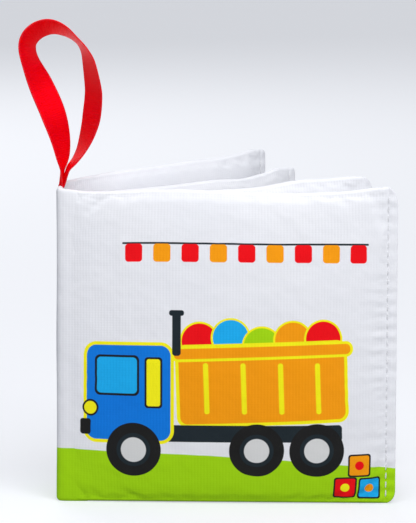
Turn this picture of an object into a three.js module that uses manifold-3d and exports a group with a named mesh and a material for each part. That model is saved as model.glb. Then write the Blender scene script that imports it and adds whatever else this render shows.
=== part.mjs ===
// Squeaker baby book: a sewn cloth book of four padded leaves that stands open like a fan.
// Millimetres, +Z up. The origin is the foot of the spine, at its middle, on the surface that the
// book stands on. The front cover faces -Y and runs along +X from its hinge line.

import * as THREE from 'three';
import Module from 'manifold-3d';
import { mergeVertices } from 'three/addons/utils/BufferGeometryUtils.js';

const wasm = await Module();
wasm.setup();

// Leaves
const COVER_WIDTH = 120; // hinge line to fore-edge
const COVER_HEIGHT = 113;
const INNER_WIDTH = 120;
const INNER_SHORTFALL = 3.5; // the inner leaves are cut a little short of the covers
const FRONT_COVER_HALF = 5.6; // half of the thickness at the crown, over the squeaker
const BACK_COVER_HALF = 4;
const INNER_HALF = 3.5;

// Cloth and seams
const CLOTH = 0.8; // a panel's thickness over the pad
const SEAM_GAP = 0.3; // between the two panels of a leaf where they meet
const SEAM_HALF = 0.75; // half of the thickness of the turned seams
const FLANGE = 3.6; // flat margin outside the topstitching of the fore-edge
const FLANGE_HALF = 0.85;
const STITCH_GROOVE_HALF = 0.6; // the topstitching draws the margin in
const CORNER_RADIUS = 3.4; // rounded corners of the fore-edge
const TOP_DRAW_IN = 1.4; // how far the middle of a top seam is drawn down
const FOOT_CUT = 0.5; // the bottom seam is flattened by this where the leaf stands
const CROWN_PEAK = 0.6; // where the crown is highest, as a share of the way to the topstitching
const CROWN_RISE = 1; // how steadily the crown rises from the spine: less is fuller
const FRONT_COVER_PEAK = 0.5; // the squeaker fills the front cover more evenly
const FRONT_COVER_RISE = 0.6;

// Foam pads
const PAD_START = 7.5; // hinge line to the hollow that holds the pad
const PAD_MARGIN = 1.5; // topstitching, top and bottom seams to the hollow
const PAD_GAP = 0.3;
const PAD_EDGE_HALF = 0.2; // least half of the thickness of the pad, at its corners

// Spine: flat cloth strips between the four hinge lines
const HINGE_PITCH = 4.4;
const STRIP_HALF = 0.9;
const STRIP_END_GAP = 0.45; // hinge line to the round end of a strip
const FOLD_GAP = 0.3; // a leaf's root to the strip that it folds against

// How far round each leaf stands from the front cover, and how much further it can close
const LEAF_1_ANGLE = 21.7;
const LEAF_2_ANGLE = 46.2;
const BACK_COVER_ANGLE = 53.3;
const FRONT_COVER_CLOSING = 15;
const LEAF_1_CLOSING = 19.9;
const LEAF_2_CLOSING = 1.5;
const BACK_ROOT = 0.6; // hinge line to the back cover's root, where nothing folds against it

// Squeaker in the front cover
const SQUEAKER_RADIUS = 14;
const SQUEAKER_HALF = 4.2; // half of its height, along Y
const SQUEAKER_WALL = 1;
const SQUEAKER_EDGE = 1.2; // rounding of the two faces
const SQUEAKER_EDGE_STEPS = 2;
const BASE_DEPTH = 2.2;
const CAP_DEPTH = 1.8;
const BELLOWS_FOLDS = 3;
const BELLOWS_FOLD_DEPTH = 1.3;
const WHISTLE_RADIUS = 3.2;
const WHISTLE_LENGTH = 2.6;
const WHISTLE_BORE = 1.1;
const SQUEAKER_GAP = 0.3;
const POCKET_GAP = 0.9; // round the squeaker, in the pad
const SQUEAKER_ACROSS = 60; // hinge line to the squeaker's axis
const SQUEAKER_UP = 56;

// Ribbon loop
const RIBBON_WIDTH = 10;
const RIBBON_PINCHED = 3.4; // its width where it goes into the seam
const RIBBON_THICKNESS = 0.5;
const LOOP_HEIGHT = 56; // above the top of the spine
const LOOP_WIDTH = 25; // across its centreline
const LOOP_LEAN = 0.4; // the loop's middle stands this far to the spine's outer side
const PINCH_SHARE = 0.09; // of the ribbon's length, over which each end widens
const TAB_HEIGHT = 9; // the sewn ends, in the top of the spine
const TAB_GAP = 0.3;

// Faceting
const CROWN_STEPS = 10;
const FLANGE_STEPS = 2;
const CORNER_STEPS = 3;
const HEIGHT_STEPS = 8;
const ROUND_STEPS = 28;
const RIBBON_STEPS = 44;

const clothWhite = { color: 0xf1f1f4, roughness: 0.85, metalness: 0 };
const foamCream = { color: 0xf3ecd2, roughness: 0.95, metalness: 0 };
const ribbonRed = { color: 0xd8000f, roughness: 0.45, metalness: 0 };
const squeakerPlastic = { color: 0xe9edf2, roughness: 0.4, metalness: 0 };

const ease = (t) => 0.5 - 0.5 * Math.cos(Math.PI * t);
const radians = THREE.MathUtils.degToRad;

function part(name, geometry, look) {
  const mesh = new THREE.Mesh(geometry, new THREE.MeshStandardMaterial(look));
  mesh.name = name;
  return mesh;
}

// A closed skin from grids of points: each sheet is a list of columns of Vector3, each collar joins
// the borders of two sheets that have as many columns and rows.
class Skin {
  constructor() {
    this.positions = [];
    this.indices = [];
  }

  sheet(columns, faceBack) {
    const first = this.positions.length / 3;
    const rows = columns[0].length;
    columns.flat().forEach((p) => this.positions.push(p.x, p.y, p.z));
    const at = (i, j) => first + i * rows + j;
    for (let i = 0; i + 1 < columns.length; i++) {
      for (let j = 0; j + 1 < rows; j++) {
        this.quad(at(i, j), at(i + 1, j), at(i + 1, j + 1), at(i, j + 1), faceBack);
      }
    }
    return this.border(at, columns.length, rows);
  }

  // The border of a sheet, or a loop of its own points, as a list of vertex numbers
  border(at, columns, rows) {
    const loop = [];
    for (let i = 0; i < columns - 1; i++) loop.push(at(i, 0));
    for (let j = 0; j < rows - 1; j++) loop.push(at(columns - 1, j));
    for (let i = columns - 1; i > 0; i--) loop.push(at(i, rows - 1));
    for (let j = rows - 1; j > 0; j--) loop.push(at(0, j));
    return loop;
  }

  // A copy of a loop moved to another thickness
  loopAt(loop, y) {
    return loop.map((v) => {
      this.positions.push(this.positions[3 * v], y, this.positions[3 * v + 2]);
      return this.positions.length / 3 - 1;
    });
  }

  collar(from, to, faceBack) {
    from.forEach((v, k) => {
      const next = (k + 1) % from.length;
      this.quad(from[next], v, to[k], to[next], faceBack);
    });
  }

  quad(a, b, c, d, faceBack) {
    if (faceBack) this.indices.push(a, c, b, a, d, c);
    else this.indices.push(a, b, c, a, c, d);
  }

  geometry() {
    const geometry = new THREE.BufferGeometry();
    geometry.setAttribute('position', new THREE.Float32BufferAttribute(this.positions, 3));
    geometry.setIndex(this.indices);
    geometry.computeVertexNormals();
    return geometry;
  }
}

function toSolid(geometry) {
  const bare = geometry.clone();
  bare.deleteAttribute('normal');
  bare.deleteAttribute('uv');
  const merged = mergeVertices(bare);
  return new wasm.Manifold(new wasm.Mesh({
    numProp: 3,
    vertProperties: new Float32Array(merged.attributes.position.array),
    triVerts: new Uint32Array(merged.index.array),
  }));
}

function fromSolid(solid) {
  const mesh = solid.getMesh();
  const geometry = new THREE.BufferGeometry();
  geometry.setAttribute('position', new THREE.BufferAttribute(mesh.vertProperties, 3));
  geometry.setIndex(new THREE.BufferAttribute(mesh.triVerts, 1));
  geometry.computeVertexNormals();
  return geometry;
}

// One padded leaf. x runs from its hinge line to the fore-edge, y is its thickness, z is up.
class Leaf {
  constructor({ width, height, half, root, peak = CROWN_PEAK, rise = CROWN_RISE }) {
    Object.assign(this, { width, height, half, root, peak, rise });
    this.stitch = width - FLANGE; // the topstitching
    const across = [];
    for (let i = 0; i <= CROWN_STEPS; i++) {
      across.push(root + (this.stitch - root) * ease(i / CROWN_STEPS));
    }
    for (let i = 1; i <= FLANGE_STEPS; i++) across.push(this.stitch + (FLANGE * i) / FLANGE_STEPS);
    this.across = across;

    const corner = [];
    for (let i = 0; i < CORNER_STEPS; i++) {
      corner.push(CORNER_RADIUS * (1 - Math.cos((Math.PI / 2) * (i / CORNER_STEPS))));
    }
    const middle = [];
    for (let i = 0; i <= HEIGHT_STEPS; i++) {
      middle.push(CORNER_RADIUS + (height - 2 * CORNER_RADIUS) * ease(i / HEIGHT_STEPS));
    }
    this.up = [...corner, ...middle, ...corner.map((z) => height - z).reverse()];
  }

  // Half of the thickness of the filled leaf
  thickness(x, z) {
    if (x > this.stitch + 1e-6) return FLANGE_HALF;
    const t = (x - this.root) / (this.stitch - this.root);
    if (t > 1 - 1e-6) return STITCH_GROOVE_HALF;
    const across = t < this.peak
      ? Math.sin((Math.PI / 2) * (t / this.peak)) ** this.rise
      : Math.cos((Math.PI / 2) * ((t - this.peak) / (1 - this.peak))) ** 0.5;
    const raised = (z + FOOT_CUT) / (this.height + FOOT_CUT);
    const up = Math.max(Math.sin(Math.PI * raised), 0) ** 0.3;
    return SEAM_HALF + (this.half - SEAM_HALF) * across * up;
  }

  // A point of the leaf, with the fore-edge's corners rounded and the top seam drawn in
  place(x, y, z) {
    const edge = Math.min(z, this.height - z);
    const short = Math.max(CORNER_RADIUS - edge, 0);
    const reach = this.width - CORNER_RADIUS + Math.sqrt(CORNER_RADIUS ** 2 - short ** 2);
    const margin = x > this.stitch ? (x - this.stitch) / FLANGE : 0;
    const px = margin ? this.stitch + margin * (reach - this.stitch) : x;
    const drawn = TOP_DRAW_IN * Math.sin((Math.PI * x) / this.width) * (z / this.height) ** 4;
    return new THREE.Vector3(px, y, z - drawn);
  }

  // The outer or inner cloth panel: side is -1 towards the front and 1 towards the back
  panel(side) {
    const skin = new Skin();
    const outer = this.across.map((x) =>
      this.up.map((z) => this.place(x, side * this.thickness(x, z), z)));
    const outerBorder = skin.sheet(outer, side > 0);
    const seamBorder = skin.loopAt(outerBorder, (side * SEAM_GAP) / 2);
    const { across, up } = this.hollowLines();
    const last = { x: across.length - 1, z: up.length - 1 };
    const inner = across.map((x, i) => up.map((z, j) => {
      const atBorder = i === 0 || j === 0 || i === last.x || j === last.z;
      const y = atBorder ? SEAM_GAP / 2 : Math.max(this.thickness(x, z) - CLOTH, SEAM_GAP / 2);
      return this.place(x, side * y, z);
    }));
    const innerBorder = skin.sheet(inner, side < 0);
    skin.collar(outerBorder, seamBorder, side > 0);
    skin.collar(seamBorder, innerBorder, side > 0);
    return skin.geometry();
  }

  // The lines of the hollow that holds the pad
  hollowLines() {
    const start = PAD_START;
    const end = this.stitch - PAD_MARGIN;
    const across = this.across.map((x) =>
      start + ((end - start) * (x - this.root)) / (this.width - this.root));
    const up = this.up.map((z) =>
      PAD_MARGIN + ((this.height - 2 * PAD_MARGIN) * z) / this.height);
    return { across, up };
  }

  // The foam pad: those lines of the hollow where it is deep enough, inside the cloth
  pad() {
    const lines = this.hollowLines();
    const half = (x, z) => this.thickness(x, z) - CLOTH - PAD_GAP;
    const up = lines.up.slice(CORNER_STEPS, -CORNER_STEPS);
    const across = lines.across.slice(1, -1).filter((x) => half(x, up[0]) > PAD_EDGE_HALF);
    const face = (side) => across.map((x) => up.map((z) => this.place(x, side * half(x, z), z)));
    const skin = new Skin();
    const front = skin.sheet(face(-1), false);
    const back = skin.sheet(face(1), true);
    skin.collar(front, back, false);
    return skin.geometry();
  }
}

// A shape turned about the squeaker's axis, which runs from its base (back) to its cap (front)
function turned(outline) {
  const points = outline.map(([r, y]) => new THREE.Vector2(r, y));
  return new THREE.LatheGeometry([...points, points[0]], ROUND_STEPS);
}

// A shallow dish with a rounded face: its open side is at y 0 and its face at y = depth
function dish(depth, hole) {
  const inner = SQUEAKER_RADIUS - SQUEAKER_WALL;
  const edge = [];
  for (let k = 0; k <= SQUEAKER_EDGE_STEPS; k++) {
    const turn = (Math.PI / 2) * (k / SQUEAKER_EDGE_STEPS);
    edge.push([
      SQUEAKER_RADIUS - SQUEAKER_EDGE * (1 - Math.cos(turn)),
      depth - SQUEAKER_EDGE * (1 - Math.sin(turn)),
    ]);
  }
  return [[SQUEAKER_RADIUS, 0], ...edge, [hole, depth], [hole, depth - SQUEAKER_WALL],
    [inner, depth - SQUEAKER_WALL], [inner, 0]];
}

function squeaker() {
  const bellowsHeight = 2 * SQUEAKER_HALF - BASE_DEPTH - CAP_DEPTH - 2 * SQUEAKER_GAP;
  const foldRing = (shift) => {
    const ring = [];
    for (let k = 0; k <= 2 * BELLOWS_FOLDS; k++) {
      const inward = k % 2 ? BELLOWS_FOLD_DEPTH : 0;
      ring.push([SQUEAKER_RADIUS - inward - shift, (bellowsHeight * k) / (2 * BELLOWS_FOLDS)]);
    }
    return ring;
  };
  const bellows = part('squeaker_bellows',
    turned([...foldRing(0), ...foldRing(SQUEAKER_WALL).reverse()]), squeakerPlastic);
  bellows.position.y = BASE_DEPTH + SQUEAKER_GAP - SQUEAKER_HALF;

  const cap = part('squeaker_cap', turned(dish(CAP_DEPTH, 0)), squeakerPlastic);
  cap.position.y = SQUEAKER_HALF - CAP_DEPTH;

  const base = part('squeaker_base',
    turned(dish(BASE_DEPTH, WHISTLE_RADIUS + SQUEAKER_GAP)), squeakerPlastic);
  base.rotation.x = Math.PI;
  base.position.y = BASE_DEPTH - SQUEAKER_HALF;

  const shoulder = WHISTLE_RADIUS + 2 * SQUEAKER_GAP + SQUEAKER_WALL;
  const inFace = SQUEAKER_WALL + SQUEAKER_GAP;
  const whistle = part('squeaker_whistle', turned([
    [WHISTLE_RADIUS, 0], [WHISTLE_RADIUS, inFace], [shoulder, inFace],
    [shoulder, inFace + SQUEAKER_WALL / 2], [WHISTLE_RADIUS, WHISTLE_LENGTH],
    [WHISTLE_BORE, WHISTLE_LENGTH], [WHISTLE_BORE, 0],
  ]), squeakerPlastic);
  whistle.position.y = -SQUEAKER_HALF;

  const group = new THREE.Group();
  group.rotation.x = Math.PI; // the cap faces the front
  group.position.set(SQUEAKER_ACROSS, 0, SQUEAKER_UP);
  group.add(base, bellows, cap, whistle);
  return group;
}

function padWithPocket(leaf) {
  const cutter = new THREE.CylinderGeometry(
    SQUEAKER_RADIUS + POCKET_GAP, SQUEAKER_RADIUS + POCKET_GAP, 4 * FRONT_COVER_HALF, ROUND_STEPS);
  cutter.translate(SQUEAKER_ACROSS, 0, SQUEAKER_UP);
  return fromSolid(toSolid(leaf.pad()).subtract(toSolid(cutter)));
}

// Hinge line number k, from the front cover (0) to the back cover (3)
const hingeLine = (k) => (k - 1.5) * HINGE_PITCH;

// How far a leaf's root stands from its hinge line to clear the strip that it closes towards
function rootReach(closedTilt) {
  const tilt = radians(closedTilt);
  return (STRIP_HALF + FOLD_GAP + SEAM_HALF * Math.sin(tilt)) / Math.cos(tilt);
}

function leafGroup(k, angle, leaf, names, pad) {
  const group = new THREE.Group();
  group.position.y = hingeLine(k);
  group.rotation.z = radians(angle);
  group.add(
    part(names.front, leaf.panel(-1), clothWhite),
    part(names.back, leaf.panel(1), clothWhite),
    part(names.pad, pad, foamCream),
  );
  return group;
}

// A strip of the spine from hinge line k to the next, with round ends that roll as it folds
function spineStrip(name, k, height) {
  const start = hingeLine(k) + STRIP_END_GAP + STRIP_HALF;
  const end = hingeLine(k + 1) - STRIP_END_GAP - STRIP_HALF;
  const outline = new THREE.Shape();
  outline.absarc(0, start, STRIP_HALF, Math.PI, 2 * Math.PI, false);
  outline.absarc(0, end, STRIP_HALF, 0, Math.PI, false);
  outline.closePath();
  const geometry = new THREE.ExtrudeGeometry(outline, {
    depth: height, bevelEnabled: false, curveSegments: 6,
  });
  return part(name, geometry, clothWhite);
}

// The ribbon's two ends, folded together in the top of the middle strip, with a round top
function sewnEnds() {
  const length = HINGE_PITCH - 2 * STRIP_END_GAP;
  const outline = new THREE.Shape();
  const foot = -TAB_HEIGHT + STRIP_HALF + TAB_GAP;
  outline.moveTo(-STRIP_HALF, foot);
  outline.lineTo(STRIP_HALF, foot);
  outline.absarc(0, 0, STRIP_HALF, 0, Math.PI, false);
  outline.closePath();
  const geometry = new THREE.ExtrudeGeometry(outline, {
    depth: length, bevelEnabled: false, curveSegments: 8,
  });
  geometry.rotateX(Math.PI / 2);
  geometry.translate(0, length / 2, LOOP_PIVOT);
  return part('loop_sewn_ends', geometry, ribbonRed);
}

// The loop turns about the middle of the rounded top of its sewn ends
const LOOP_PIVOT = COVER_HEIGHT - STRIP_HALF;

// The ribbon's centreline, as shares of the loop's width to either side and of its height
const LOOP_ROUTE = [
  [0.014, 0], [0.028, 0.084], [0.034, 0.155], [-0.002, 0.295], [-0.08, 0.443], [-0.204, 0.584],
  [-0.32, 0.7], [-0.43, 0.806], [-0.46, 0.875], [-0.42, 0.94], [-0.3, 0.984], [-0.144, 1],
  [0.02, 0.992], [0.15, 0.957], [0.26, 0.904], [0.355, 0.845], [0.432, 0.754], [0.476, 0.638],
  [0.476, 0.512], [0.436, 0.388], [0.356, 0.268], [0.276, 0.196], [0.19, 0.142], [0.112, 0.089],
  [0.064, 0.035], [0.054, 0],
];

// How far the ribbon is turned from edge-on, in degrees, along its length
const LOOP_TWIST = [
  [0, 0], [0.21, 57], [0.27, 55], [0.37, 27], [0.43, 32], [0.5, 20], [0.67, -28], [0.78, -41],
  [0.84, -39], [1, 0],
];

function along(table, s) {
  const next = Math.max(1, table.findIndex(([at]) => at >= s));
  const [from, low] = table[next - 1];
  const [to, high] = table[next];
  return low + (high - low) * ease((s - from) / (to - from));
}

function ribbonLoop() {
  const seat = LOOP_PIVOT + STRIP_HALF + TAB_GAP;
  const middle = -LOOP_LEAN;
  const route = new THREE.CatmullRomCurve3(LOOP_ROUTE.map(([across, up]) => new THREE.Vector3(
    middle + across * LOOP_WIDTH, 0, seat + up * LOOP_HEIGHT)));
  const skin = new Skin();
  const rings = [];
  for (let i = 0; i <= RIBBON_STEPS; i++) {
    const s = i / RIBBON_STEPS;
    const p = route.getPointAt(s);
    const ahead = route.getTangentAt(s);
    if (i === 0) ahead.set(0, 0, 1);
    if (i === RIBBON_STEPS) ahead.set(0, 0, -1);
    const flat = new THREE.Vector3(0, 1, 0).applyAxisAngle(ahead, radians(along(LOOP_TWIST, s)));
    const through = new THREE.Vector3().crossVectors(flat, ahead);
    const open = Math.min(s, 1 - s) / PINCH_SHARE;
    const width = RIBBON_PINCHED + (RIBBON_WIDTH - RIBBON_PINCHED) * ease(THREE.MathUtils.clamp(open, 0, 1));
    rings.push([[-1, -1], [1, -1], [1, 1], [-1, 1]].map(([w, t]) => p.clone()
      .addScaledVector(flat, (w * width) / 2)
      .addScaledVector(through, (t * RIBBON_THICKNESS) / 2)));
  }
  rings.flat().forEach((p) => skin.positions.push(p.x, p.y, p.z));
  for (let i = 0; i < RIBBON_STEPS; i++) {
    for (let k = 0; k < 4; k++) {
      const n = (k + 1) % 4;
      skin.quad(4 * i + k, 4 * i + n, 4 * i + 4 + n, 4 * i + 4 + k, true);
    }
  }
  const last = 4 * RIBBON_STEPS;
  skin.quad(0, 1, 2, 3, false);
  skin.quad(last, last + 1, last + 2, last + 3, true);
  return part('ribbon_loop', skin.geometry(), ribbonRed);
}

const frontCover = new Leaf({
  width: COVER_WIDTH, height: COVER_HEIGHT, half: FRONT_COVER_HALF,
  root: rootReach(FRONT_COVER_CLOSING), peak: FRONT_COVER_PEAK, rise: FRONT_COVER_RISE,
});
const leaf1 = new Leaf({
  width: INNER_WIDTH, height: COVER_HEIGHT - INNER_SHORTFALL, half: INNER_HALF,
  root: rootReach(LEAF_1_ANGLE + LEAF_1_CLOSING),
});
const leaf2 = new Leaf({
  width: INNER_WIDTH, height: COVER_HEIGHT - INNER_SHORTFALL, half: INNER_HALF,
  root: rootReach(LEAF_2_ANGLE + LEAF_2_CLOSING),
});
const backCover = new Leaf({
  width: COVER_WIDTH, height: COVER_HEIGHT, half: BACK_COVER_HALF, root: BACK_ROOT,
});

const frontCoverGroup = leafGroup(0, 0, frontCover, {
  front: 'front_cover_outer_panel', back: 'front_cover_lining_panel', pad: 'front_cover_foam_pad',
}, padWithPocket(frontCover));
frontCoverGroup.add(squeaker());

const book = new THREE.Group();
book.add(
  frontCoverGroup,
  leafGroup(1, LEAF_1_ANGLE, leaf1, {
    front: 'leaf_1_front_panel', back: 'leaf_1_back_panel', pad: 'leaf_1_foam_pad',
  }, leaf1.pad()),
  leafGroup(2, LEAF_2_ANGLE, leaf2, {
    front: 'leaf_2_front_panel', back: 'leaf_2_back_panel', pad: 'leaf_2_foam_pad',
  }, leaf2.pad()),
  leafGroup(3, BACK_COVER_ANGLE, backCover, {
    front: 'back_cover_lining_panel', back: 'back_cover_outer_panel', pad: 'back_cover_foam_pad',
  }, backCover.pad()),
  spineStrip('spine_strip_front', 0, COVER_HEIGHT),
  spineStrip('spine_strip_middle', 1, COVER_HEIGHT - TAB_HEIGHT),
  spineStrip('spine_strip_back', 2, COVER_HEIGHT),
  sewnEnds(),
  ribbonLoop(),
);

export default book;
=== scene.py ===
"""Squeaker baby book: the sewn finish of a cloth book, laid over its CAD frame.

Four padded cloth leaves stand open like a fan on a bent cloth spine. Each leaf is filled and
topstitched, a squeaker sits in the front cover, and a satin ribbon loop grows out of the spine.
Sizes are in millimetres and meshes in metres, in the frame's own axes: +Z up, the front cover faces
-Y and runs along +X from its hinge line.
"""

import logging
import math
from collections.abc import Iterable
from dataclasses import dataclass, replace
from enum import Enum

import bmesh
import bpy
import numpy as np
from bpy.types import Material, Mesh, Node, NodeSocket, NodeTree, Object
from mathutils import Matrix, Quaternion, Vector

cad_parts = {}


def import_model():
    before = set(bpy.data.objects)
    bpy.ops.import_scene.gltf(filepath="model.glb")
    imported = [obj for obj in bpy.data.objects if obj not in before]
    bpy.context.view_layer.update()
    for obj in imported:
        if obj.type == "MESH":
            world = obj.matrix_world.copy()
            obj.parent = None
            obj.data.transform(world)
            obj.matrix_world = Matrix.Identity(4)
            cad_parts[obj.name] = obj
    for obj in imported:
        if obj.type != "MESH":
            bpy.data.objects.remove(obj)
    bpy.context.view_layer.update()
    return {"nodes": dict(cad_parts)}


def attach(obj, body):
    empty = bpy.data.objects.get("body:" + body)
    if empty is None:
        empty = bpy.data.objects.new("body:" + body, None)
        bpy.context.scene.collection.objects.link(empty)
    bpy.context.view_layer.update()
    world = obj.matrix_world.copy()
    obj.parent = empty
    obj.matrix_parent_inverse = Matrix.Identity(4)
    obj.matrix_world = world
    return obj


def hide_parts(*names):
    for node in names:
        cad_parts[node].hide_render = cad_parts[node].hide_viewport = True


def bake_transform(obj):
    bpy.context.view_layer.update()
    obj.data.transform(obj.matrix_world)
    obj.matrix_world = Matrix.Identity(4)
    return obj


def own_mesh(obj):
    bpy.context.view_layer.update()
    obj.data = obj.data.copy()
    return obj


MM = 0.001  # metres in a millimetre
MERGED = 1e-6  # metres within which two vertices are one
SIM_SCALE = 0.01  # the filling is simulated at 100 mm to the unit, where Cloth's stiffness holds
SIM_FRAMES = 20
PRINT_UNIT = 100.0  # millimetres of cloth in one unit of UV
EVENNESS = 0.6  # how evenly a leaf's grid lines lie: less than 1 crowds them at the seams
MIX_A, MIX_B, MIXED = 6, 7, 2  # the Mix node's inputs and output for colours
FILLING = {  # the filled cloth, as Blender's Cloth takes it
    "quality": 5, "mass": 0.3, "tension_stiffness": 25, "compression_stiffness": 25,
    "shear_stiffness": 8, "bending_stiffness": 0.6, "air_damping": 2,
    "vertex_group_mass": "seams", "use_pressure": True, "uniform_pressure_force": 4}

log = logging.getLogger("squeaker_book")
Grid = np.ndarray
Faces = list[tuple[int, ...]]


class Side(Enum):
    """The two faces of a leaf: towards the front of the book, and towards its back."""

    FRONT = -1
    BACK = 1


def srgb(colour: str) -> tuple[float, float, float, float]:
    """Turns an sRGB hex colour to the linear RGBA that the shaders use.

    Args:
        colour: six hex digits after a hash.

    Returns:
        Linear red, green, blue and an alpha of 1.
    """
    channels = [int(colour[i:i + 2], 16) / 255 for i in (1, 3, 5)]
    linear = [c / 12.92 if c <= 0.04045 else ((c + 0.055) / 1.055) ** 2.4 for c in channels]
    return (linear[0], linear[1], linear[2], 1.0)


def add_node(tree: NodeTree, kind: str, inputs: dict | None = None, **settings: object) -> Node:
    """Adds a node with its settings and links.

    Args:
        tree: the node tree of a material, world or modifier.
        kind: the node's type name.
        inputs: for each input, by its name or number, its value, or the output that feeds it, or the
            node whose first output does.
        settings: the node's own properties.

    Returns:
        The new node.
    """
    node = tree.nodes.new(kind)
    for name, value in settings.items():
        setattr(node, name, value)
    for key, value in (inputs or {}).items():
        source = value.outputs[0] if isinstance(value, Node) else value
        if isinstance(source, NodeSocket):
            tree.links.new(source, node.inputs[key])
        else:
            node.inputs[key].default_value = source
    return node


def ease(share: Grid | float) -> Grid | float:
    """Runs from 0 to 1 with a slow start and a slow end."""
    return 0.5 - 0.5 * np.cos(np.pi * np.clip(share, 0, 1))


def spread(count: int) -> Grid:
    """Gives that many places from 0 to 1, closer together at both ends."""
    even = np.linspace(0, 1, count)
    return EVENNESS * even + (1 - EVENNESS) * ease(even)


def beside_seam(away: Grid, start: float, reach: float) -> Grid:
    """Gives how strong a crease is: nothing in its seam, strongest near it, and faint past reach."""
    return (1 - np.exp(-away / start)) * np.exp(-away / reach)


def border(columns: int, rows: int) -> list[tuple[int, int]]:
    """Lists a grid's border as column and row, once round.

    Args:
        columns, rows: the grid's size.

    Returns:
        The places, from the grid's first one.
    """
    loop = [(i, 0) for i in range(columns - 1)]
    loop += [(columns - 1, j) for j in range(rows - 1)]
    loop += [(i, rows - 1) for i in range(columns - 1, 0, -1)]
    return loop + [(0, j) for j in range(rows - 1, 0, -1)]


def shell_faces(columns: int, rows: int, rings: int = 0, first: int = 0) -> tuple[Faces, list[bool]]:
    """Joins a front and a back grid of vertices into a closed shell.

    Args:
        columns, rows: the size of each grid, numbered column after column.
        rings: how many rings of vertices, numbered after the grids, lie between their borders.
        first: the first vertex's number.

    Returns:
        The faces, and for each whether it belongs to the back.
    """
    loop, size = border(columns, rows), columns * rows
    faces, backs = [], []
    for back in (False, True):
        for i in range(columns - 1):
            for j in range(rows - 1):
                a = first + back * size + i * rows + j
                quad = (a, a + rows, a + rows + 1, a + 1)
                faces.append(quad[::-1] if back else quad)
                backs.append(back)
    lines = [[first + i * rows + j for i, j in loop]]
    lines += [[first + 2 * size + k * len(loop) + n for n in range(len(loop))] for k in range(rings)]
    lines += [[number + size for number in lines[0]]]
    for k, (low, high) in enumerate(zip(lines, lines[1:])):
        for n in range(len(loop)):
            after = (n + 1) % len(loop)
            faces.append((low[after], low[n], high[n], high[after]))
            backs.append(2 * k > rings)
    return faces, backs


def linked(name: str, mesh: Mesh, materials: Iterable[Material]) -> Object:
    """Links a mesh as a smooth-shaded object at the origin.

    Args:
        name: the piece's name.
        mesh: its mesh.
        materials: its material slots, in place of any that the mesh has.

    Returns:
        The object.
    """
    mesh.materials.clear()
    for material in materials:
        mesh.materials.append(material)
    mesh.shade_smooth()
    obj = bpy.data.objects.new(name, mesh)
    bpy.context.scene.collection.objects.link(obj)
    return obj


def mesh_object(name: str, points: Grid, faces: Faces, materials: Iterable[Material]) -> Object:
    """Makes a piece from points and faces.

    Args:
        name: the piece's name.
        points: its vertices, in metres.
        faces: vertex numbers of each face.
        materials: its material slots.

    Returns:
        The linked object.
    """
    mesh = bpy.data.meshes.new(name)
    mesh.from_pydata([tuple(p) for p in points], [], faces)
    return linked(name, mesh, materials)


def copied_piece(node: Object, name: str, material: Material) -> Object:
    """Copies a CAD piece's faces into a piece of its own.

    Args:
        node: the CAD piece.
        name: the new piece's name.
        material: its finish.

    Returns:
        The linked object, with merged vertices.
    """
    shape = bmesh.new()
    shape.from_mesh(node.data)
    bmesh.ops.remove_doubles(shape, verts=shape.verts, dist=MERGED)
    mesh = bpy.data.meshes.new(name)
    shape.to_mesh(mesh)
    shape.free()
    return linked(name, mesh, [material])


def lay_out_cloth(obj: Object, front: Grid, back: Grid | None = None) -> None:
    """Writes a piece's UV map.

    Args:
        obj: the piece.
        front: each vertex's U and V.
        back: the same on the faces that have the second material.
    """
    layer = obj.data.uv_layers.new(name="cloth")
    for polygon in obj.data.polygons:
        places = back if polygon.material_index else front
        for corner in polygon.loop_indices:
            layer.data[corner].uv = places[obj.data.loops[corner].vertex_index]


def face_outwards(obj: Object) -> None:
    """Turns a closed mesh's faces outwards.

    Args:
        obj: its object.
    """
    shape = bmesh.new()
    shape.from_mesh(obj.data)
    bmesh.ops.recalc_face_normals(shape, faces=shape.faces)
    if shape.calc_volume(signed=True) < 0:
        bmesh.ops.reverse_faces(shape, faces=shape.faces)
    shape.to_mesh(obj.data)
    shape.free()


def subdivide(obj: Object) -> None:
    """Adds a subdivision surface that looks the same in every view."""
    smooth = obj.modifiers.new("rounding", "SUBSURF")
    smooth.levels = smooth.render_levels = 1


def evaluated_mesh(obj: Object) -> Mesh:
    """Gives an object's mesh as its modifiers leave it, as a new mesh."""
    graph = bpy.context.evaluated_depsgraph_get()
    return bpy.data.meshes.new_from_object(obj.evaluated_get(graph))


def bake_modifiers(obj: Object) -> None:
    """Works an object's modifiers into its mesh and removes them.

    Args:
        obj: the object.
    """
    mesh, old = evaluated_mesh(obj), obj.data
    obj.modifiers.clear()
    obj.data = mesh
    bpy.data.meshes.remove(old)


@dataclass(frozen=True)
class PrintShape:
    """One flat printed shape: a box with round corners, or a disc where it is all corner."""

    place: tuple[float, float]  # its middle on the cloth, in millimetres: across and up
    half: tuple[float, float]  # half of its width and height
    colour: str
    corner: float = 1.0
    turn: float = 0.0  # degrees, anticlockwise
    outline: float = 0.0  # width of a line round it
    outline_colour: str = "#FFF714"

    def moved(self, across: float, up: float) -> "PrintShape":
        """Gives the same shape that far to the side and up."""
        return replace(self, place=(self.place[0] + across, self.place[1] + up))


def disc(across: float, up: float, radius: float, colour: str, *outline: float | str) -> PrintShape:
    """Makes a printed disc.

    Args:
        across, up: its middle, in millimetres.
        radius: its radius, in millimetres.
        colour: its sRGB hex colour.
        outline: width and then colour of the line round it, or nothing.

    Returns:
        The disc as a shape that is all corner.
    """
    return PrintShape((across, up), (radius, radius), colour, radius, 0.0, *outline)


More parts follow.
